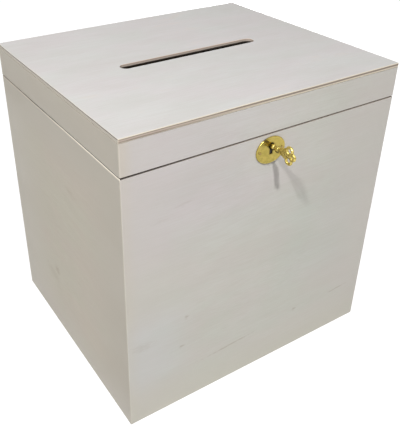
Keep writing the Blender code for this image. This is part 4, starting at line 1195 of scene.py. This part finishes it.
class ENVELOPEBOX_OT_body(bpy.types.Operator):
    """Make the four mitred walls and the bottom that sits in their rebate.

    The inner half of the walls' rims, like the lid's, steps out almost to the middle of the seam, so
    that no light passes through the closed seam.
    """

    bl_idname = "envelopebox.body"
    bl_label = "Box Body"

    def execute(self, context):
        settings = wood()
        low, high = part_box("left_panel")
        _, floor_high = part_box("bottom_panel")
        tongue = high.x - low.x - WALL / 2
        shoulder = floor_high.z + settings.rebate_gap
        rim = HINGE_Z - settings.rim_gap
        section = [(WALL / 2, high.z)] + rounded(
            [
                (WALL / 2 + rim - high.z, rim),
                (WALL, rim),
                (WALL, shoulder),
                (tongue, shoulder),
                (tongue, 0.0),
                (tongue / 2, 0.0),
            ],
            settings.inner_radius,
        )
        for side in TURNS:
            lip = settings.lip_radius if side in ("left", "right") else settings.seam_radius
            panel = make_board(f"{side}_panel", side, "box", section, 0.0, high.z, settings.edge_radius, lip)
            if side == "front":
                cut_out(panel, [keyhole_cutter(FRONT - WALL, WALL_INSIDE + WALL)], WOOD_CRISP)
            if side == "back":
                cut_out(panel, leaf_seats("body"), WOOD_CRISP)
        make_bottom()
        return {"FINISHED"}


def slab(low, high, corner, edge, columns=8):
    """A flat slab: rings of a rounded rectangle that grow out of the bottom's middle and close on top.

    The ring's plan corner shrinks with the edge's pitch, as on the boards.
    """
    low = np.array(low)
    high = np.array(high)
    pitch = np.radians(np.linspace(-90.0, 90.0, 9))
    insets = edge * (1 - np.cos(pitch))
    heights = np.where(pitch < 0, low[2] + edge, high[2] - edge) + edge * np.sin(pitch)
    insets = np.concatenate([[edge * 3], insets, [edge * 3]])
    heights = np.concatenate([[low[2]], heights, [high[2]]])
    rings = [rounded_rectangle(low[:2] + i, high[:2] - i, max(corner - i, SHARP), columns) for i in insets]
    flat = np.stack(rings)
    return np.concatenate([flat, np.repeat(heights[:, None, None], flat.shape[1], axis=1)], -1)


def rounded_rectangle(low, high, radius, columns):
    """Points round a rectangle with round corners, from the front left corner, anticlockwise."""
    corners = (
        (low[0] + radius, low[1] + radius, 180.0),
        (high[0] - radius, low[1] + radius, 270.0),
        (high[0] - radius, high[1] - radius, 0.0),
        (low[0] + radius, high[1] - radius, 90.0),
    )
    points = []
    for i, (x, y, start) in enumerate(corners):
        turn = arc(radius, start, start + 90.0, 4, (x, y))
        next_x, next_y, next_start = corners[(i + 1) % 4]
        goal = arc(radius, next_start, next_start, 0, (next_x, next_y))[0]
        run = np.linspace(turn[-1], goal, columns + 1)[1:-1]
        points += [turn, run]
    return np.concatenate(points)


def make_bottom():
    """The bottom sheet in its rebate."""
    settings = wood()
    low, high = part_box("bottom_panel")
    material = wood_material("wood_bottom", settings.side, low, high, (2, -1), worn=0.5)
    points = slab(low, high, settings.bottom_corner, settings.inner_radius)
    make_piece("bottom_panel", sheet_of(points, close_columns=True), material, "box")


class ENVELOPEBOX_OT_lid(bpy.types.Operator):
    """Make the lid's four rails and the top sheet with its posting slot."""

    bl_idname = "envelopebox.lid"
    bl_label = "Lid"

    def execute(self, context):
        settings = wood()
        low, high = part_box("lid_left_rail")
        rim = HINGE_Z + settings.rim_gap
        inner = [(WALL / 2, high.z), (WALL, high.z), (WALL, rim), (WALL / 2 + low.z - rim, rim)]
        section = rounded(inner, settings.inner_radius) + [(WALL / 2, low.z)]
        edge = settings.seam_radius
        for side in TURNS:
            rail = make_board(f"lid_{side}_rail", side, "lid", section, low.z, high.z, edge, 0.0)
            if side == "back":
                cut_out(rail, leaf_seats("lid"), WOOD_CRISP)
        make_top_sheet()
        return {"FINISHED"}


def make_top_sheet():
    """The lid sheet: rows that pass from the slot's stadium outline to the sheet's rectangle.

    The section runs round the sheet's thickness: slot wall, rounded rim, top face, rounded edge, side
    and underside. Each row is the mix (1 - t) of the slot's outline and t of the rectangle's.
    """
    settings = wood()
    low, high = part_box("lid_top_panel")
    e = settings.sheet_edge
    s = settings.slot_edge
    straight = 28
    ends = 36
    pitch = np.radians(np.linspace(0.0, 90.0, 5))
    rows = [("slot", s * (1 - math.cos(a)), high.z - s * (1 - math.sin(a))) for a in pitch]
    outer = [("edge", e * (1 - math.sin(a)), high.z - e * (1 - math.cos(a))) for a in pitch]
    lower = [("edge", e * (1 - math.cos(a)), low.z + e * (1 - math.sin(a))) for a in pitch]
    under = [("slot", s * (1 - math.sin(a)), low.z + s * (1 - math.cos(a))) for a in pitch]
    r = settings.slot_width / 2
    run = settings.slot_length / 2 - r

    def slot_ring(grow):
        right = arc(r + grow, -90.0, 90.0, ends, (run, 0.0))
        left = arc(r + grow, 90.0, 270.0, ends, (-run, 0.0))
        bottom = np.linspace(left[-1], right[0], straight + 1)[1:-1]
        top = np.linspace(right[-1], left[0], straight + 1)[1:-1]
        return np.concatenate([bottom, right, top, left])

    def edge_ring(inset):
        c = max(settings.corner_radius - inset, SHARP)
        x = WIDTH / 2 - inset
        y = DEPTH / 2 - inset
        turns = 5
        sides = ends - 2 * turns
        bottom = np.linspace((c - x, -y), (x - c, -y), straight + 1)[1:-1]
        right = np.concatenate(
            [
                arc(c, -90.0, 0.0, turns, (x - c, c - y)),
                np.linspace((x, c - y), (x, y - c), sides + 1)[1:-1],
                arc(c, 0.0, 90.0, turns, (x - c, y - c)),
            ]
        )
        return np.concatenate([bottom, right, -bottom, -right])

    def ring(kind, amount, z):
        flat = slot_ring(amount) if kind == "slot" else edge_ring(amount)
        return np.concatenate([flat, np.full((len(flat), 1), z)], -1)

    def between(first, last, shares):
        return [first * (1 - t) + last * t for t in shares]

    shares = (0.004, 0.25, 0.5, 0.75, 0.996)
    loop = [ring(*row) for row in rows]
    loop += between(loop[-1], ring(*outer[0]), shares)
    loop += [ring(*row) for row in outer]
    loop += between(loop[-1], ring(*lower[0]), (0.08, 0.5, 0.92))
    loop += [ring(*row) for row in lower]
    loop += between(loop[-1], ring(*under[0]), [1 - t for t in shares[::-1]])
    loop += [ring(*row) for row in under]
    sheet = sheet_of(np.stack(loop), close_rows=True, close_columns=True)
    make_piece("lid_top_panel", sheet, finish("lid_sheet"), "lid", WOOD_CRISP)


# Keyhole, escutcheon and key

# The middle of the keyhole, where its rays start, as seen from the key's axis
KEYHOLE_MIDDLE = np.array([0.0, -0.0026])


def keyhole_outline(gap=0.0):
    """The keyhole round the key's axis, grown by a gap: a round head and a slot below it.

    Its points lie on rays from the keyhole's middle, at even angles and through each corner.
    """
    settings = brass()
    head = settings.keyhole_radius + gap
    half = settings.keyhole_slot / 2 + gap
    foot = -settings.keyhole_foot - gap
    opening = math.asin(half / head)
    junction = -head * math.cos(opening)
    corners = np.array([(half, junction), (-half, junction), (-half, foot), (half, foot)]) - KEYHOLE_MIDDLE
    even = np.linspace(-math.pi, math.pi, 144, endpoint=False)
    angles = np.sort(np.concatenate([even, np.arctan2(*corners.T[::-1])]))
    ray = np.stack([np.cos(angles), np.sin(angles)], -1)
    along = ray @ KEYHOLE_MIDDLE
    to_head = -along + np.sqrt(along ** 2 - KEYHOLE_MIDDLE @ KEYHOLE_MIDDLE + head ** 2)
    to_side = half / np.maximum(np.abs(ray[:, 0]), 1e-9)
    to_foot = (foot - KEYHOLE_MIDDLE[1]) / np.minimum(ray[:, 1], -1e-9)
    at_side = KEYHOLE_MIDDLE[1] + to_side * ray[:, 1]
    slot = np.minimum(to_side, to_foot)
    reach = np.where(at_side < junction + 1e-9, slot, to_head)
    return KEYHOLE_MIDDLE + ray * reach[:, None]


def upright(outline, y):
    """A flat outline round the key's axis, stood up at a place along Y."""
    return np.stack([outline[:, 0] + KEY_X, np.full(len(outline), y), outline[:, 1] + KEY_Z], -1)


def keyhole_cutter(near, far):
    """The keyhole carried from near to far through the wall."""
    outline = keyhole_outline()
    return sheet_of(np.stack([upright(outline, near), upright(outline, far)]), close_columns=True)


def leaf_seats(owner):
    """The two shallow seats that a hinge's leaves lie in, cut from the seam into the board."""
    gap = brass().leaf_gap
    depth = brass().leaf_outer + gap
    levels = (HINGE_Z - depth, HINGE_Z) if owner == "body" else (HINGE_Z, HINGE_Z + depth)
    seats = []
    for side in ("left", "right"):
        low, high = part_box(f"hinge_{side}_{owner}_leaf")
        seats.append(block((low.x - gap, low.y - gap, levels[0]), (high.x + gap, BACK + WALL, levels[1])))
    return seats


class ENVELOPEBOX_OT_escutcheon(bpy.types.Operator):
    """Make the oval plate round the keyhole and the two pins that hold it."""

    bl_idname = "envelopebox.escutcheon"
    bl_label = "Escutcheon"

    def execute(self, context):
        make_plate()
        for side in ("left", "right"):
            make_plate_pin(side)
        return {"FINISHED"}


def make_plate():
    """Rows pass from the keyhole's outline to the oval along rays from the keyhole's middle.

    The section runs from the keyhole's wall over a rounded rim, the crowned face with its engraved
    line and the rounded edge, and back along the flat back. A ray from the middle m in the direction
    d meets the oval of half axes a and b where |(m + d t) / (a, b)| = 1, a quadratic in t.
    """
    settings = brass()
    low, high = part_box("escutcheon")
    half = np.array([high.x - low.x, high.z - low.z]) / 2
    centre = np.array([(high.x + low.x) / 2 - KEY_X, (high.z + low.z) / 2 - KEY_Z])
    hole = keyhole_outline()
    ray = hole - KEYHOLE_MIDDLE
    ray = ray / np.linalg.norm(ray, axis=1)[:, None]

    def oval(inset):
        d = ray / (half - inset)
        m = (KEYHOLE_MIDDLE - centre) / (half - inset)
        qa = (d ** 2).sum(1)
        qb = 2 * d @ m
        reach = (-qb + np.sqrt(qb ** 2 - 4 * qa * (m @ m - 1))) / (2 * qa)
        return KEYHOLE_MIDDLE + ray * reach[:, None]

    rim = settings.plate_rim
    thickness = high.y - low.y
    edge = settings.plate_edge
    crown = settings.plate_crown
    face = thickness - crown
    rows = []

    def add(outline, out):
        rows.append(upright(outline, high.y - out))

    add(hole, 0.0)
    add(hole, (thickness - rim) / 2)
    for t in np.radians(np.linspace(0.0, 90.0, 5)):
        add(keyhole_outline(rim * (1 - math.cos(t))), thickness - rim * (1 - math.sin(t)))
    inner = keyhole_outline(rim)
    groove = settings.groove_inset
    outer = oval(groove)
    for t in (0.03, 0.07, 0.12, 0.18, 0.26, 0.4, 0.6, 0.8, 0.97):
        add(inner * (1 - t) + outer * t, thickness - crown * t ** 2)
    for t in np.linspace(0.0, 1.0, 5):
        add(oval(groove - t * settings.groove_width), face - settings.groove_depth * math.sin(math.pi * t))
    drop = 0.55 * thickness
    for t in np.radians(np.linspace(90.0, 0.0, 9)):
        add(oval(edge * (1 - math.cos(t))), face - drop * (1 - math.sin(t)))
    add(oval(0.0), 0.05 * thickness)
    add(oval(0.05 * thickness), 0.0)
    points = np.stack(rows)
    plate = make_brass_piece("escutcheon", points, "plate_gold", "box", close_rows=True, sharp=PLATE_CRISP)
    set_dirt_and_painted_shade(plate.data, plate_dirt_shade_and_reflection(points_of(plate.data), high.y - thickness))


def plate_dirt_shade_and_reflection(points, face):
    """Dirt and painted shade round the keyhole, painted shade down its walls, and a painted reflection of
    the shank beside it, laid on as a smear.

    The dirt and shade fade with the distance from the keyhole's outline, and the smear with the distance
    from the line between the key's axis and the smear's end.
    """
    settings = brass()
    flat = points[:, [0, 2]] - (KEY_X, KEY_Z)
    away = np.linalg.norm(flat[:, None] - keyhole_outline()[None], axis=-1).min(1)
    # Dirt and painted shade round the keyhole
    spread = 0.75 * np.clip(1 - away / settings.keyhole_grime, 0.0, 1.0) ** 1.5
    # Painted shade down the keyhole's walls
    deep = (away < 1e-6) & (points[:, 1] > face + settings.plate_rim)
    # A painted reflection of the shank, laid on as a smear
    end = np.array(settings.smear_end)[[0, 2]]
    along = np.clip(flat @ end / (end @ end), 0.0, 1.0)
    width = settings.smear_width * (0.5 + 0.6 * along)
    beside = np.linalg.norm(flat - along[:, None] * end, axis=-1) / width
    smear = (0.62 + 0.33 * along) * np.clip(1.5 - beside, 0.0, 1.0)
    return np.maximum(np.maximum(spread, deep), smear)


def make_plate_pin(side):
    """A domed pin head, and behind it a shank that tapers to a blunt point."""
    settings = brass()
    name = f"escutcheon_pin_{side}"
    low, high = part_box(name)
    dome = settings.tack_dome
    shank = settings.tack_shank
    seat = low.y + dome
    end = seat - high.y
    t = np.radians(np.linspace(90.0, 0.0, 8))
    head = np.stack([(high.x - low.x) / 2 * np.cos(t), dome * np.sin(t)], -1)
    foot = [(shank, 0.0), (shank, end + settings.tack_taper), (shank * 0.3, end + settings.tack_taper * 0.2)]
    place_at = Matrix.Translation(((low.x + high.x) / 2, seat, (low.z + high.z) / 2))
    points = lathe(np.concatenate([head, foot, [(0.0, end)]]), 32)
    points = moved(points, place_at @ Matrix.Rotation(math.pi / 2, 4, "X"))
    make_brass_piece(name, points, "pin_brass", "box")


def beaded_loop(radius, out, up, beads):
    """A ring in the plane x = 0, cast as beads: the wire's radius w = wire (1 - depth sin^2(beads u / 2)).

    A point is (w sin v, out + (radius + w cos v) cos u, up + (radius + w cos v) sin u), with u round
    the ring and v round the wire.
    """
    settings = cast_key()
    u = np.linspace(0, 2 * math.pi, 144, endpoint=False)[:, None]
    v = np.linspace(0, 2 * math.pi, 24, endpoint=False)[None, :]
    wire = settings.wire * (1 - settings.bead_depth * np.sin(beads * u / 2) ** 2)
    reach = radius + wire * np.cos(v)
    points = np.stack([wire * np.sin(v), out + reach * np.cos(u), up + reach * np.sin(u)], -1)
    return sheet_of(points, close_rows=True, close_columns=True)


class ENVELOPEBOX_OT_key(bpy.types.Operator):
    """Make the cast key: shank, collar, bit with a ward cut, web and a bow of three loops."""

    bl_idname = "envelopebox.key"
    bl_label = "Key"

    def execute(self, context):
        make_key()
        return {"FINISHED"}


def make_key():
    """Turned, looped and flat parts overlap, and a fine voxel grid melts them into one casting.

    In the key's own frame y runs out from the front face, away from the box, and z up.
    """
    settings = cast_key()
    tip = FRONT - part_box("key")[1].y
    surfaces = [
        key_shank(tip),
        key_bit(tip + settings.tip),
        key_web(),
        beaded_loop(settings.loop_radius, settings.loop_out, settings.loop_rise, 12),
        beaded_loop(settings.loop_radius, settings.loop_out, -settings.loop_rise, 12),
        beaded_loop(settings.nose_radius, settings.nose_out, 0.0, 9),
    ]
    mesh = make_mesh("key", surfaces)
    mesh.transform(Matrix.Translation((KEY_X, FRONT, KEY_Z)) @ Matrix.Scale(-1.0, 4, (0.0, 1.0, 0.0)))
    mesh.flip_normals()
    key = place_piece("key", mesh, finish("key_gold"), "key")
    melt = key.modifiers.new("melt", "REMESH")
    melt.mode = "VOXEL"
    melt.voxel_size = settings.grid
    ease = key.modifiers.new("ease", "SMOOTH")
    ease.factor = 0.5
    ease.iterations = 7
    apply_modifiers(key, KEY_CRISP)
    set_dirt_and_painted_shade(key.data, key_dirt_and_painted_shade(key.data))


def key_shank(tip):
    """The turned profile: shank, a bead that swells as a half sine, collar with rounded edges, and neck."""
    settings = cast_key()
    shank = settings.shank_radius
    edge = settings.collar_edge
    collar = settings.collar_radius
    start = settings.collar_out
    end = start + settings.collar_length
    rise = arc(edge, 180.0, 90.0, 4, (start + edge, collar - edge))
    fall = arc(edge, 90.0, 0.0, 4, (end - edge, collar - edge))
    swell = settings.bead_radius - shank
    t = np.linspace(0.0, math.pi, 17)
    bead = np.stack([shank + swell * np.sin(t), settings.bead_out - settings.bead_half * np.cos(t)], -1)
    profile = [(0.0, tip), (shank - settings.tip, tip), (shank, tip + settings.tip)]
    profile += [*bead, (shank, start - edge)]
    profile += [(radius, out) for out, radius in np.concatenate([rise, fall])]
    last = settings.nose_out - settings.nose_radius
    profile += [(settings.neck_radius, end + edge), (settings.neck_radius, last), (0.0, last)]
    points = moved(lathe(profile, 48), Matrix.Rotation(-math.pi / 2, 4, "X"))
    return sheet_of(points, close_columns=True)


def key_web():
    """The web between the collar and the side loops: ellipses whose half width grows along the key.

    At share s of its length the half width is narrow + (wide - narrow) s^1.4, and the half thickness
    falls from the neck's radius to the web's own: x = thick cos v and z = width sin v. Two hollows run
    along it, where the thickness is multiplied by 1 + flute s cos(3 pi sin v).
    """
    settings = cast_key()
    start = settings.collar_out + settings.collar_length / 2
    end = settings.loop_out - settings.loop_radius
    s = np.linspace(0.0, 1.0, 40)[:, None]
    v = np.linspace(0, 2 * math.pi, 48, endpoint=False)[None, :]
    width = settings.web_narrow + (settings.web_wide - settings.web_narrow) * s ** 1.4
    thick = settings.web_thick + (settings.neck_radius - settings.web_thick) * (1 - s) ** 2
    thick = thick * (1 + settings.web_flute * s * np.cos(3 * math.pi * np.sin(v)))
    points = np.stack([thick * np.cos(v), (start + (end - start) * s) + 0 * v, width * np.sin(v)], -1)
    return sheet_of(points, close_columns=True)


def key_bit(near):
    """The bit below the shank, with its ward cut from the edge, carried across its thickness."""
    settings = cast_key()
    far = near + settings.bit_length
    middle = (near + far) / 2
    ward = settings.ward_width / 2
    edge = -settings.bit_reach
    cut = edge + settings.ward_depth
    outline = [
        (near, 0.0),
        (near, edge),
        (middle - ward, edge),
        (middle - ward, cut),
        (middle + ward, cut),
        (middle + ward, edge),
        (far, edge),
        (far, 0.0),
    ]
    return sheet_of(sweep(outline, (-settings.bit_half, settings.bit_half)), close_columns=True)


def key_dirt_and_painted_shade(mesh):
    """Dirt and painted shade in the casting's hollows, and painted shade along the underside of the shank and
    collar.
    """
    settings = cast_key()
    points = points_of(mesh)
    fade = 0.001
    thickest = 0.9
    out = FRONT - points[:, 1]
    down = (KEY_Z - points[:, 2]) / settings.collar_radius
    turned = np.clip((settings.collar_out + settings.collar_length + fade - out) / fade, 0.0, 1.0)
    # Painted shade along the underside of the shank and collar
    under = np.clip((down - 0.02) / 0.20, 0.0, 1.0) * turned
    # Dirt and painted shade in the casting's hollows
    in_hollows = np.clip(hollows(mesh, 4) / settings.hollow, 0.0, thickest)
    return np.maximum(in_hollows, thickest * under)


# Hinges and screws

class ENVELOPEBOX_OT_hinges(bpy.types.Operator):
    """Make the two butt hinges, their pins and their countersunk screws."""

    bl_idname = "envelopebox.hinges"
    bl_label = "Hinges"

    def execute(self, context):
        for side in ("left", "right"):
            for owner, body in (("body", "box"), ("lid", "lid")):
                make_leaf(side, owner, body)
                for count in (1, 2):
                    name = f"hinge_{side}_{owner}_screw_{count}"
                    make_screw(name, body, "flat", "+z" if owner == "body" else "-z")
            make_hinge_pin(side)
        return {"FINISHED"}


def make_leaf(side, owner, body):
    """A leaf of rolled sheet: the plate runs into a curl round the pin, and its knuckles are milled free.

    The profile in (y, z) follows the plate's outer face, the curl's outside, its end, its bore and the
    plate's inner face, and is carried along the hinge.
    """
    settings = brass()
    name = f"hinge_{side}_{owner}_leaf"
    low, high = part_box(name)
    outer = settings.leaf_outer
    inner = settings.leaf_inner
    bore = settings.curl_bore
    radius = high.y - HINGE_Y
    plate = low.y - HINGE_Y
    end = math.degrees(settings.curl_end)
    curl = arc(radius, 180.0 - math.degrees(math.asin(outer / radius)), end, 44)
    hole = arc(bore, end, 180.0 - math.degrees(math.asin(inner / bore)), 36)
    outline = np.concatenate([[(plate, outer)], curl, hole, [(plate, inner)]])
    outline[:, 1] *= 1.0 if owner == "lid" else -1.0
    points = sweep(outline + (HINGE_Y, HINGE_Z), np.linspace(low.x, high.x, 13))
    leaf = make_brass_piece(name, points, "satin_brass", body)
    seats = [screw_seat(f"hinge_{side}_{owner}_screw_{count}", owner) for count in (1, 2)]
    cut_out(leaf, knuckle_cuts(owner, low.x, high.x, radius) + seats)


def knuckle_cuts(owner, start, end, radius):
    """The blocks that mill the other leaf's knuckles free: the middle third, or both end thirds."""
    gap = brass().knuckle_gap
    knuckle = (end - start - 2 * gap) / 3
    spans = [(start - gap, start + knuckle + gap), (end - knuckle - gap, end + gap)]
    if owner == "body":
        spans = [(start + knuckle, end - knuckle)]
    near = HINGE_Y - radius - brass().leaf_gap
    reach = radius + gap
    return [block((a, near, HINGE_Z - reach), (b, HINGE_Y + reach, HINGE_Z + reach)) for a, b in spans]


def screw_seat(name, owner):
    """The countersunk hole round a screw's head, with room above the leaf's face and through it."""
    low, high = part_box(name)
    head = (high.x - low.x) / 2 + screws().seat_gap
    shank = screws().shank + screws().seat_gap
    above = 0.001
    through = -0.003
    profile = np.array(
        [(0.0, above), (head, above), (head, 0.0), (shank, -screws().cone), (shank, through), (0.0, through)]
    )
    profile[:, 1] *= 1.0 if owner == "body" else -1.0
    top = high.z if owner == "body" else low.z
    points = lathe(profile, 40) + np.array([(low.x + high.x) / 2, (low.y + high.y) / 2, top])
    return sheet_of(points, close_columns=True)


def make_hinge_pin(side):
    """The hinge's pin with its ends rounded over."""
    name = f"hinge_{side}_pin"
    low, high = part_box(name)
    radius = (high.z - low.z) / 2
    t = np.radians(np.linspace(0.0, 90.0, 6))
    cap = radius * 0.35
    half = (high.x - low.x) / 2
    upper = np.stack([radius - cap + cap * np.cos(t), half - cap + cap * np.sin(t)], -1)
    profile = np.concatenate([[(0.0, -half)], upper[::-1] * (1, -1), upper, [(0.0, half)]])
    matrix = Matrix.Translation((low + high) / 2) @ Matrix.Rotation(math.pi / 2, 4, "Y")
    make_brass_piece(name, moved(lathe(profile, 40), matrix), "satin_brass", "box")


def make_screw(name, body, kind, facing):
    """A slotted wood screw: a turned head, flat or domed, a threaded shank and the driver's slot.

    The thread is a ripple of the radius with height: r - d |sin| of the height over the pitch.
    """
    settings = screws()
    low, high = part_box(name)
    size = high - low
    axis = "xyz".index(facing[1])
    radius = max(size[i] for i in range(3) if i != axis) / 2
    shank = settings.shank
    if kind == "flat":
        top = 0.0
        start = -settings.cone
        head = [(0.0, 0.0), (radius * 0.94, 0.0), (radius, -settings.brim), (shank, start)]
    else:
        top = settings.dome
        start = 0.0
        t = np.radians(np.linspace(90.0, 0.0, 9))
        head = [(radius * math.cos(a), top * math.sin(a)) for a in t] + [(shank, 0.0)]
    foot = top - size[axis]
    heights = np.linspace(start - settings.neck, foot + settings.point, 60)
    thread = settings.thread * np.abs(np.sin(math.pi * (heights - start) / settings.pitch))
    profile = np.concatenate([head, np.stack([shank - thread, heights], -1), [(0.0, foot)]])
    turn = {"+z": (0.0, 0.0, 0.0), "-z": (math.pi, 0.0, 0.0), "+y": (-math.pi / 2, 0.0, 0.0)}[facing]
    seat = (low + high) / 2
    seat[axis] = high[axis] - top if facing[0] == "+" else low[axis] + top
    matrix = Matrix.Translation(seat) @ Euler(turn).to_matrix().to_4x4()
    screw = make_brass_piece(name, moved(lathe(profile, 32), matrix), "satin_brass", body)
    # The driver's slots stand at five different angles, told by the letters of the screws' names
    lean = Matrix.Rotation(math.radians(37.0 * (sum(map(ord, name)) % 5)), 4, "Z")
    half = settings.drive_half
    reach = radius * 2
    points, quads = block((-reach, -half, top - settings.drive_depth), (reach, half, top + reach))
    cut_out(screw, [(moved(points, matrix @ lean), quads)])


# Lock and strike

class ENVELOPEBOX_OT_lock(bpy.types.Operator):
    """Finish the lock on the front wall and the strike on the lid."""

    bl_idname = "envelopebox.lock"
    bl_label = "Lock"

    def execute(self, context):
        bodies = {"lock_bolt": "bolt", "lock_barrel": "barrel", "strike_plate": "lid"}
        for name in ("lock_plate", "lock_case", "lock_bolt", "lock_spring", "lock_barrel", "strike_plate"):
            make_pressed(name, bodies.get(name, "box"))
        for count in range(1, 5):
            make_screw(f"lock_screw_{count}", "box", "round", "+y")
        for side in ("left", "right"):
            make_screw(f"strike_screw_{side}", "lid", "round", "+y")
        return {"FINISHED"}


def make_pressed(name, body):
    """A pressed steel piece: the solid's own shape, merged and with its edges rounded."""
    settings = steel()
    mesh = frame["nodes"][name].data.copy()
    shape = bmesh.new()
    shape.from_mesh(mesh)
    bmesh.ops.remove_doubles(shape, verts=shape.verts, dist=WELD * 10)
    flat = math.radians(1.0)
    bmesh.ops.dissolve_limit(shape, angle_limit=flat, verts=shape.verts, edges=shape.edges)
    shape.to_mesh(mesh)
    shape.free()
    piece = place_piece(name, mesh, finish("zinc_steel"), body)
    edges = piece.modifiers.new("edges", "BEVEL")
    edges.width = settings.spring_radius if name == "lock_spring" else settings.press_radius
    edges.segments = 2
    edges.limit_method = "ANGLE"
    edges.angle_limit = math.radians(STEEL_CRISP)
    apply_modifiers(piece, STEEL_CRISP)
    # Black grease and painted shade round the key's way in, behind the front wall
    points = points_of(piece.data)
    away = np.hypot(points[:, 0] - KEY_X, points[:, 2] - KEY_Z)
    near_front = points[:, 1] < WALL_INSIDE + settings.grease_depth
    set_dirt_and_painted_shade(piece.data, near_front * (settings.grease_reach - away) / settings.grease_fade)


# Stage

class ENVELOPEBOX_OT_stage(bpy.types.Operator):
    """Make the pale floor, the lamps, the room light and the camera."""

    bl_idname = "envelopebox.stage"
    bl_label = "Stage"

    def execute(self, context):
        settings = context.scene.envelope_stage
        make_floor(settings)
        make_room(settings)
        for name in LAMPS:
            make_lamp(settings, name)
        make_camera(settings)
        context.scene.view_settings.view_transform = "Standard"
        return {"FINISHED"}


def seen_directly(nodes):
    """1 for rays that show the stage itself: from the camera, in a mirror or through glass."""
    path = nodes.add("ShaderNodeLightPath").outputs
    seen = nodes.larger(path["Is Camera Ray"], path["Is Glossy Ray"])
    return nodes.larger(seen, path["Is Transmission Ray"])


def make_floor(settings):
    """A flat square under the box that glows white to the eye and keeps the box's shadow."""
    half = settings.floor_size / 2
    x, y = np.meshgrid(np.linspace(-half, half, 9), np.linspace(-half, half, 9))
    points = np.stack([x, y, np.zeros_like(x)], -1)
    mesh = bpy.data.meshes.new("floor")
    flat, quads = sheet_of(points)
    mesh.from_pydata(flat.tolist(), [], quads.tolist())
    floor = bpy.data.objects.new("floor", mesh)
    bpy.context.scene.collection.objects.link(floor)
    material = bpy.data.materials.new("floor")
    material.use_nodes = True
    nodes = Nodes(material.node_tree)
    nodes.tree.nodes.clear()
    glow = nodes.add("ShaderNodeEmission", {"Color": (1.0, 1.0, 1.0), "Strength": settings.floor_glow})
    shade = nodes.add("ShaderNodeBsdfDiffuse", {"Color": (settings.floor_shade,) * 3})
    seen = nodes.add("ShaderNodeAddShader", {0: glow.outputs[0], 1: shade.outputs[0]})
    lit = nodes.add("ShaderNodeBsdfDiffuse", {"Color": tuple(settings.floor)})
    either = {0: seen_directly(nodes), 1: lit.outputs[0], 2: seen.outputs[0]}
    mixed = nodes.add("ShaderNodeMixShader", either)
    nodes.add("ShaderNodeOutputMaterial", {"Surface": mixed.outputs[0]})
    mesh.materials.append(material)


def make_room(settings):
    """Soft light from all round, and white where the room itself is seen."""
    world = bpy.data.worlds.new("room")
    bpy.context.scene.world = world
    world.use_nodes = True
    nodes = Nodes(world.node_tree)
    nodes.tree.nodes.clear()
    path = seen_directly(nodes)
    strength = nodes.add("ShaderNodeMix", {0: path, 2: settings.room, 3: 1.0}).outputs[0]
    background = nodes.add("ShaderNodeBackground", {"Color": (1.0, 1.0, 1.0), "Strength": strength})
    nodes.add("ShaderNodeOutputWorld", {"Surface": background.outputs[0]})


def make_lamp(settings, name):
    """A round lamp that faces the target, by its heading to the left of the front, rise and distance."""
    values = (getattr(settings, f"{name}_{word}") for word, _, _ in LAMP_VALUES)
    power, size, heading, rise, distance = values
    flat = math.cos(rise)
    away = Vector((-math.sin(heading) * flat, -math.cos(heading) * flat, math.sin(rise)))
    data = bpy.data.lights.new(f"{name}_lamp", "AREA")
    data.shape = "DISK"
    data.size = size
    data.energy = power
    lamp = bpy.data.objects.new(f"{name}_lamp", data)
    lamp.location = Vector(settings.target) + away * distance
    lamp.rotation_euler = away.to_track_quat("Z", "Y").to_euler()
    bpy.context.scene.collection.objects.link(lamp)


def make_camera(settings):
    """The camera at the photograph's viewing angle."""
    data = bpy.data.cameras.new("camera")
    data.lens = settings.lens
    data.shift_x = settings.shift_x
    data.shift_y = settings.shift_y
    camera = bpy.data.objects.new("camera", data)
    camera.location = settings.camera_place
    camera.rotation_mode = "QUATERNION"
    turn = (
        Matrix.Rotation(-settings.camera_heading, 3, "Z")
        @ Matrix.Rotation(math.pi / 2 - settings.camera_drop, 3, "X")
        @ Matrix.Rotation(settings.camera_roll, 3, "Z")
    )
    camera.rotation_quaternion = turn.to_quaternion()
    bpy.context.scene.collection.objects.link(camera)
    bpy.context.scene.camera = camera


GROUPS = (
    ("envelope_wood", WoodSettings),
    ("envelope_brass", BrassSettings),
    ("envelope_screws", ScrewSettings),
    ("envelope_key", KeySettings),
    ("envelope_steel", SteelSettings),
    ("envelope_stage", StageSettings),
)
OPERATORS = (
    ENVELOPEBOX_OT_body,
    ENVELOPEBOX_OT_lid,
    ENVELOPEBOX_OT_escutcheon,
    ENVELOPEBOX_OT_key,
    ENVELOPEBOX_OT_hinges,
    ENVELOPEBOX_OT_lock,
    ENVELOPEBOX_OT_stage,
)


class ENVELOPEBOX_PT_panel(bpy.types.Panel):
    """The box's operators and settings in the sidebar."""

    bl_label = "Envelope Box"
    bl_idname = "ENVELOPEBOX_PT_panel"
    bl_space_type = "VIEW_3D"
    bl_region_type = "UI"
    bl_category = "Envelope Box"

    def draw(self, context):
        for operator in OPERATORS:
            self.layout.operator(operator.bl_idname)
        for key, group in GROUPS:
            column = self.layout.column(align=True)
            settings = getattr(context.scene, key)
            for name in group.__annotations__:
                column.prop(settings, name)


def register():
    add_lamp_settings()
    for key, group in GROUPS:
        bpy.utils.register_class(group)
        setattr(bpy.types.Scene, key, PointerProperty(type=group))
    for operator in OPERATORS:
        bpy.utils.register_class(operator)
    bpy.utils.register_class(ENVELOPEBOX_PT_panel)


def unregister():
    bpy.utils.unregister_class(ENVELOPEBOX_PT_panel)
    for operator in reversed(OPERATORS):
        bpy.utils.unregister_class(operator)
    for key, group in reversed(GROUPS):
        delattr(bpy.types.Scene, key)
        bpy.utils.unregister_class(group)


def main():
    register()
    build_grain_group()
    build_edge_group()
    build_mark_group()
    build_metal_group()
    for operator in OPERATORS:
        category, name = operator.bl_idname.split(".")
        getattr(getattr(bpy.ops, category), name)()


if __name__ == "__main__":
    main()
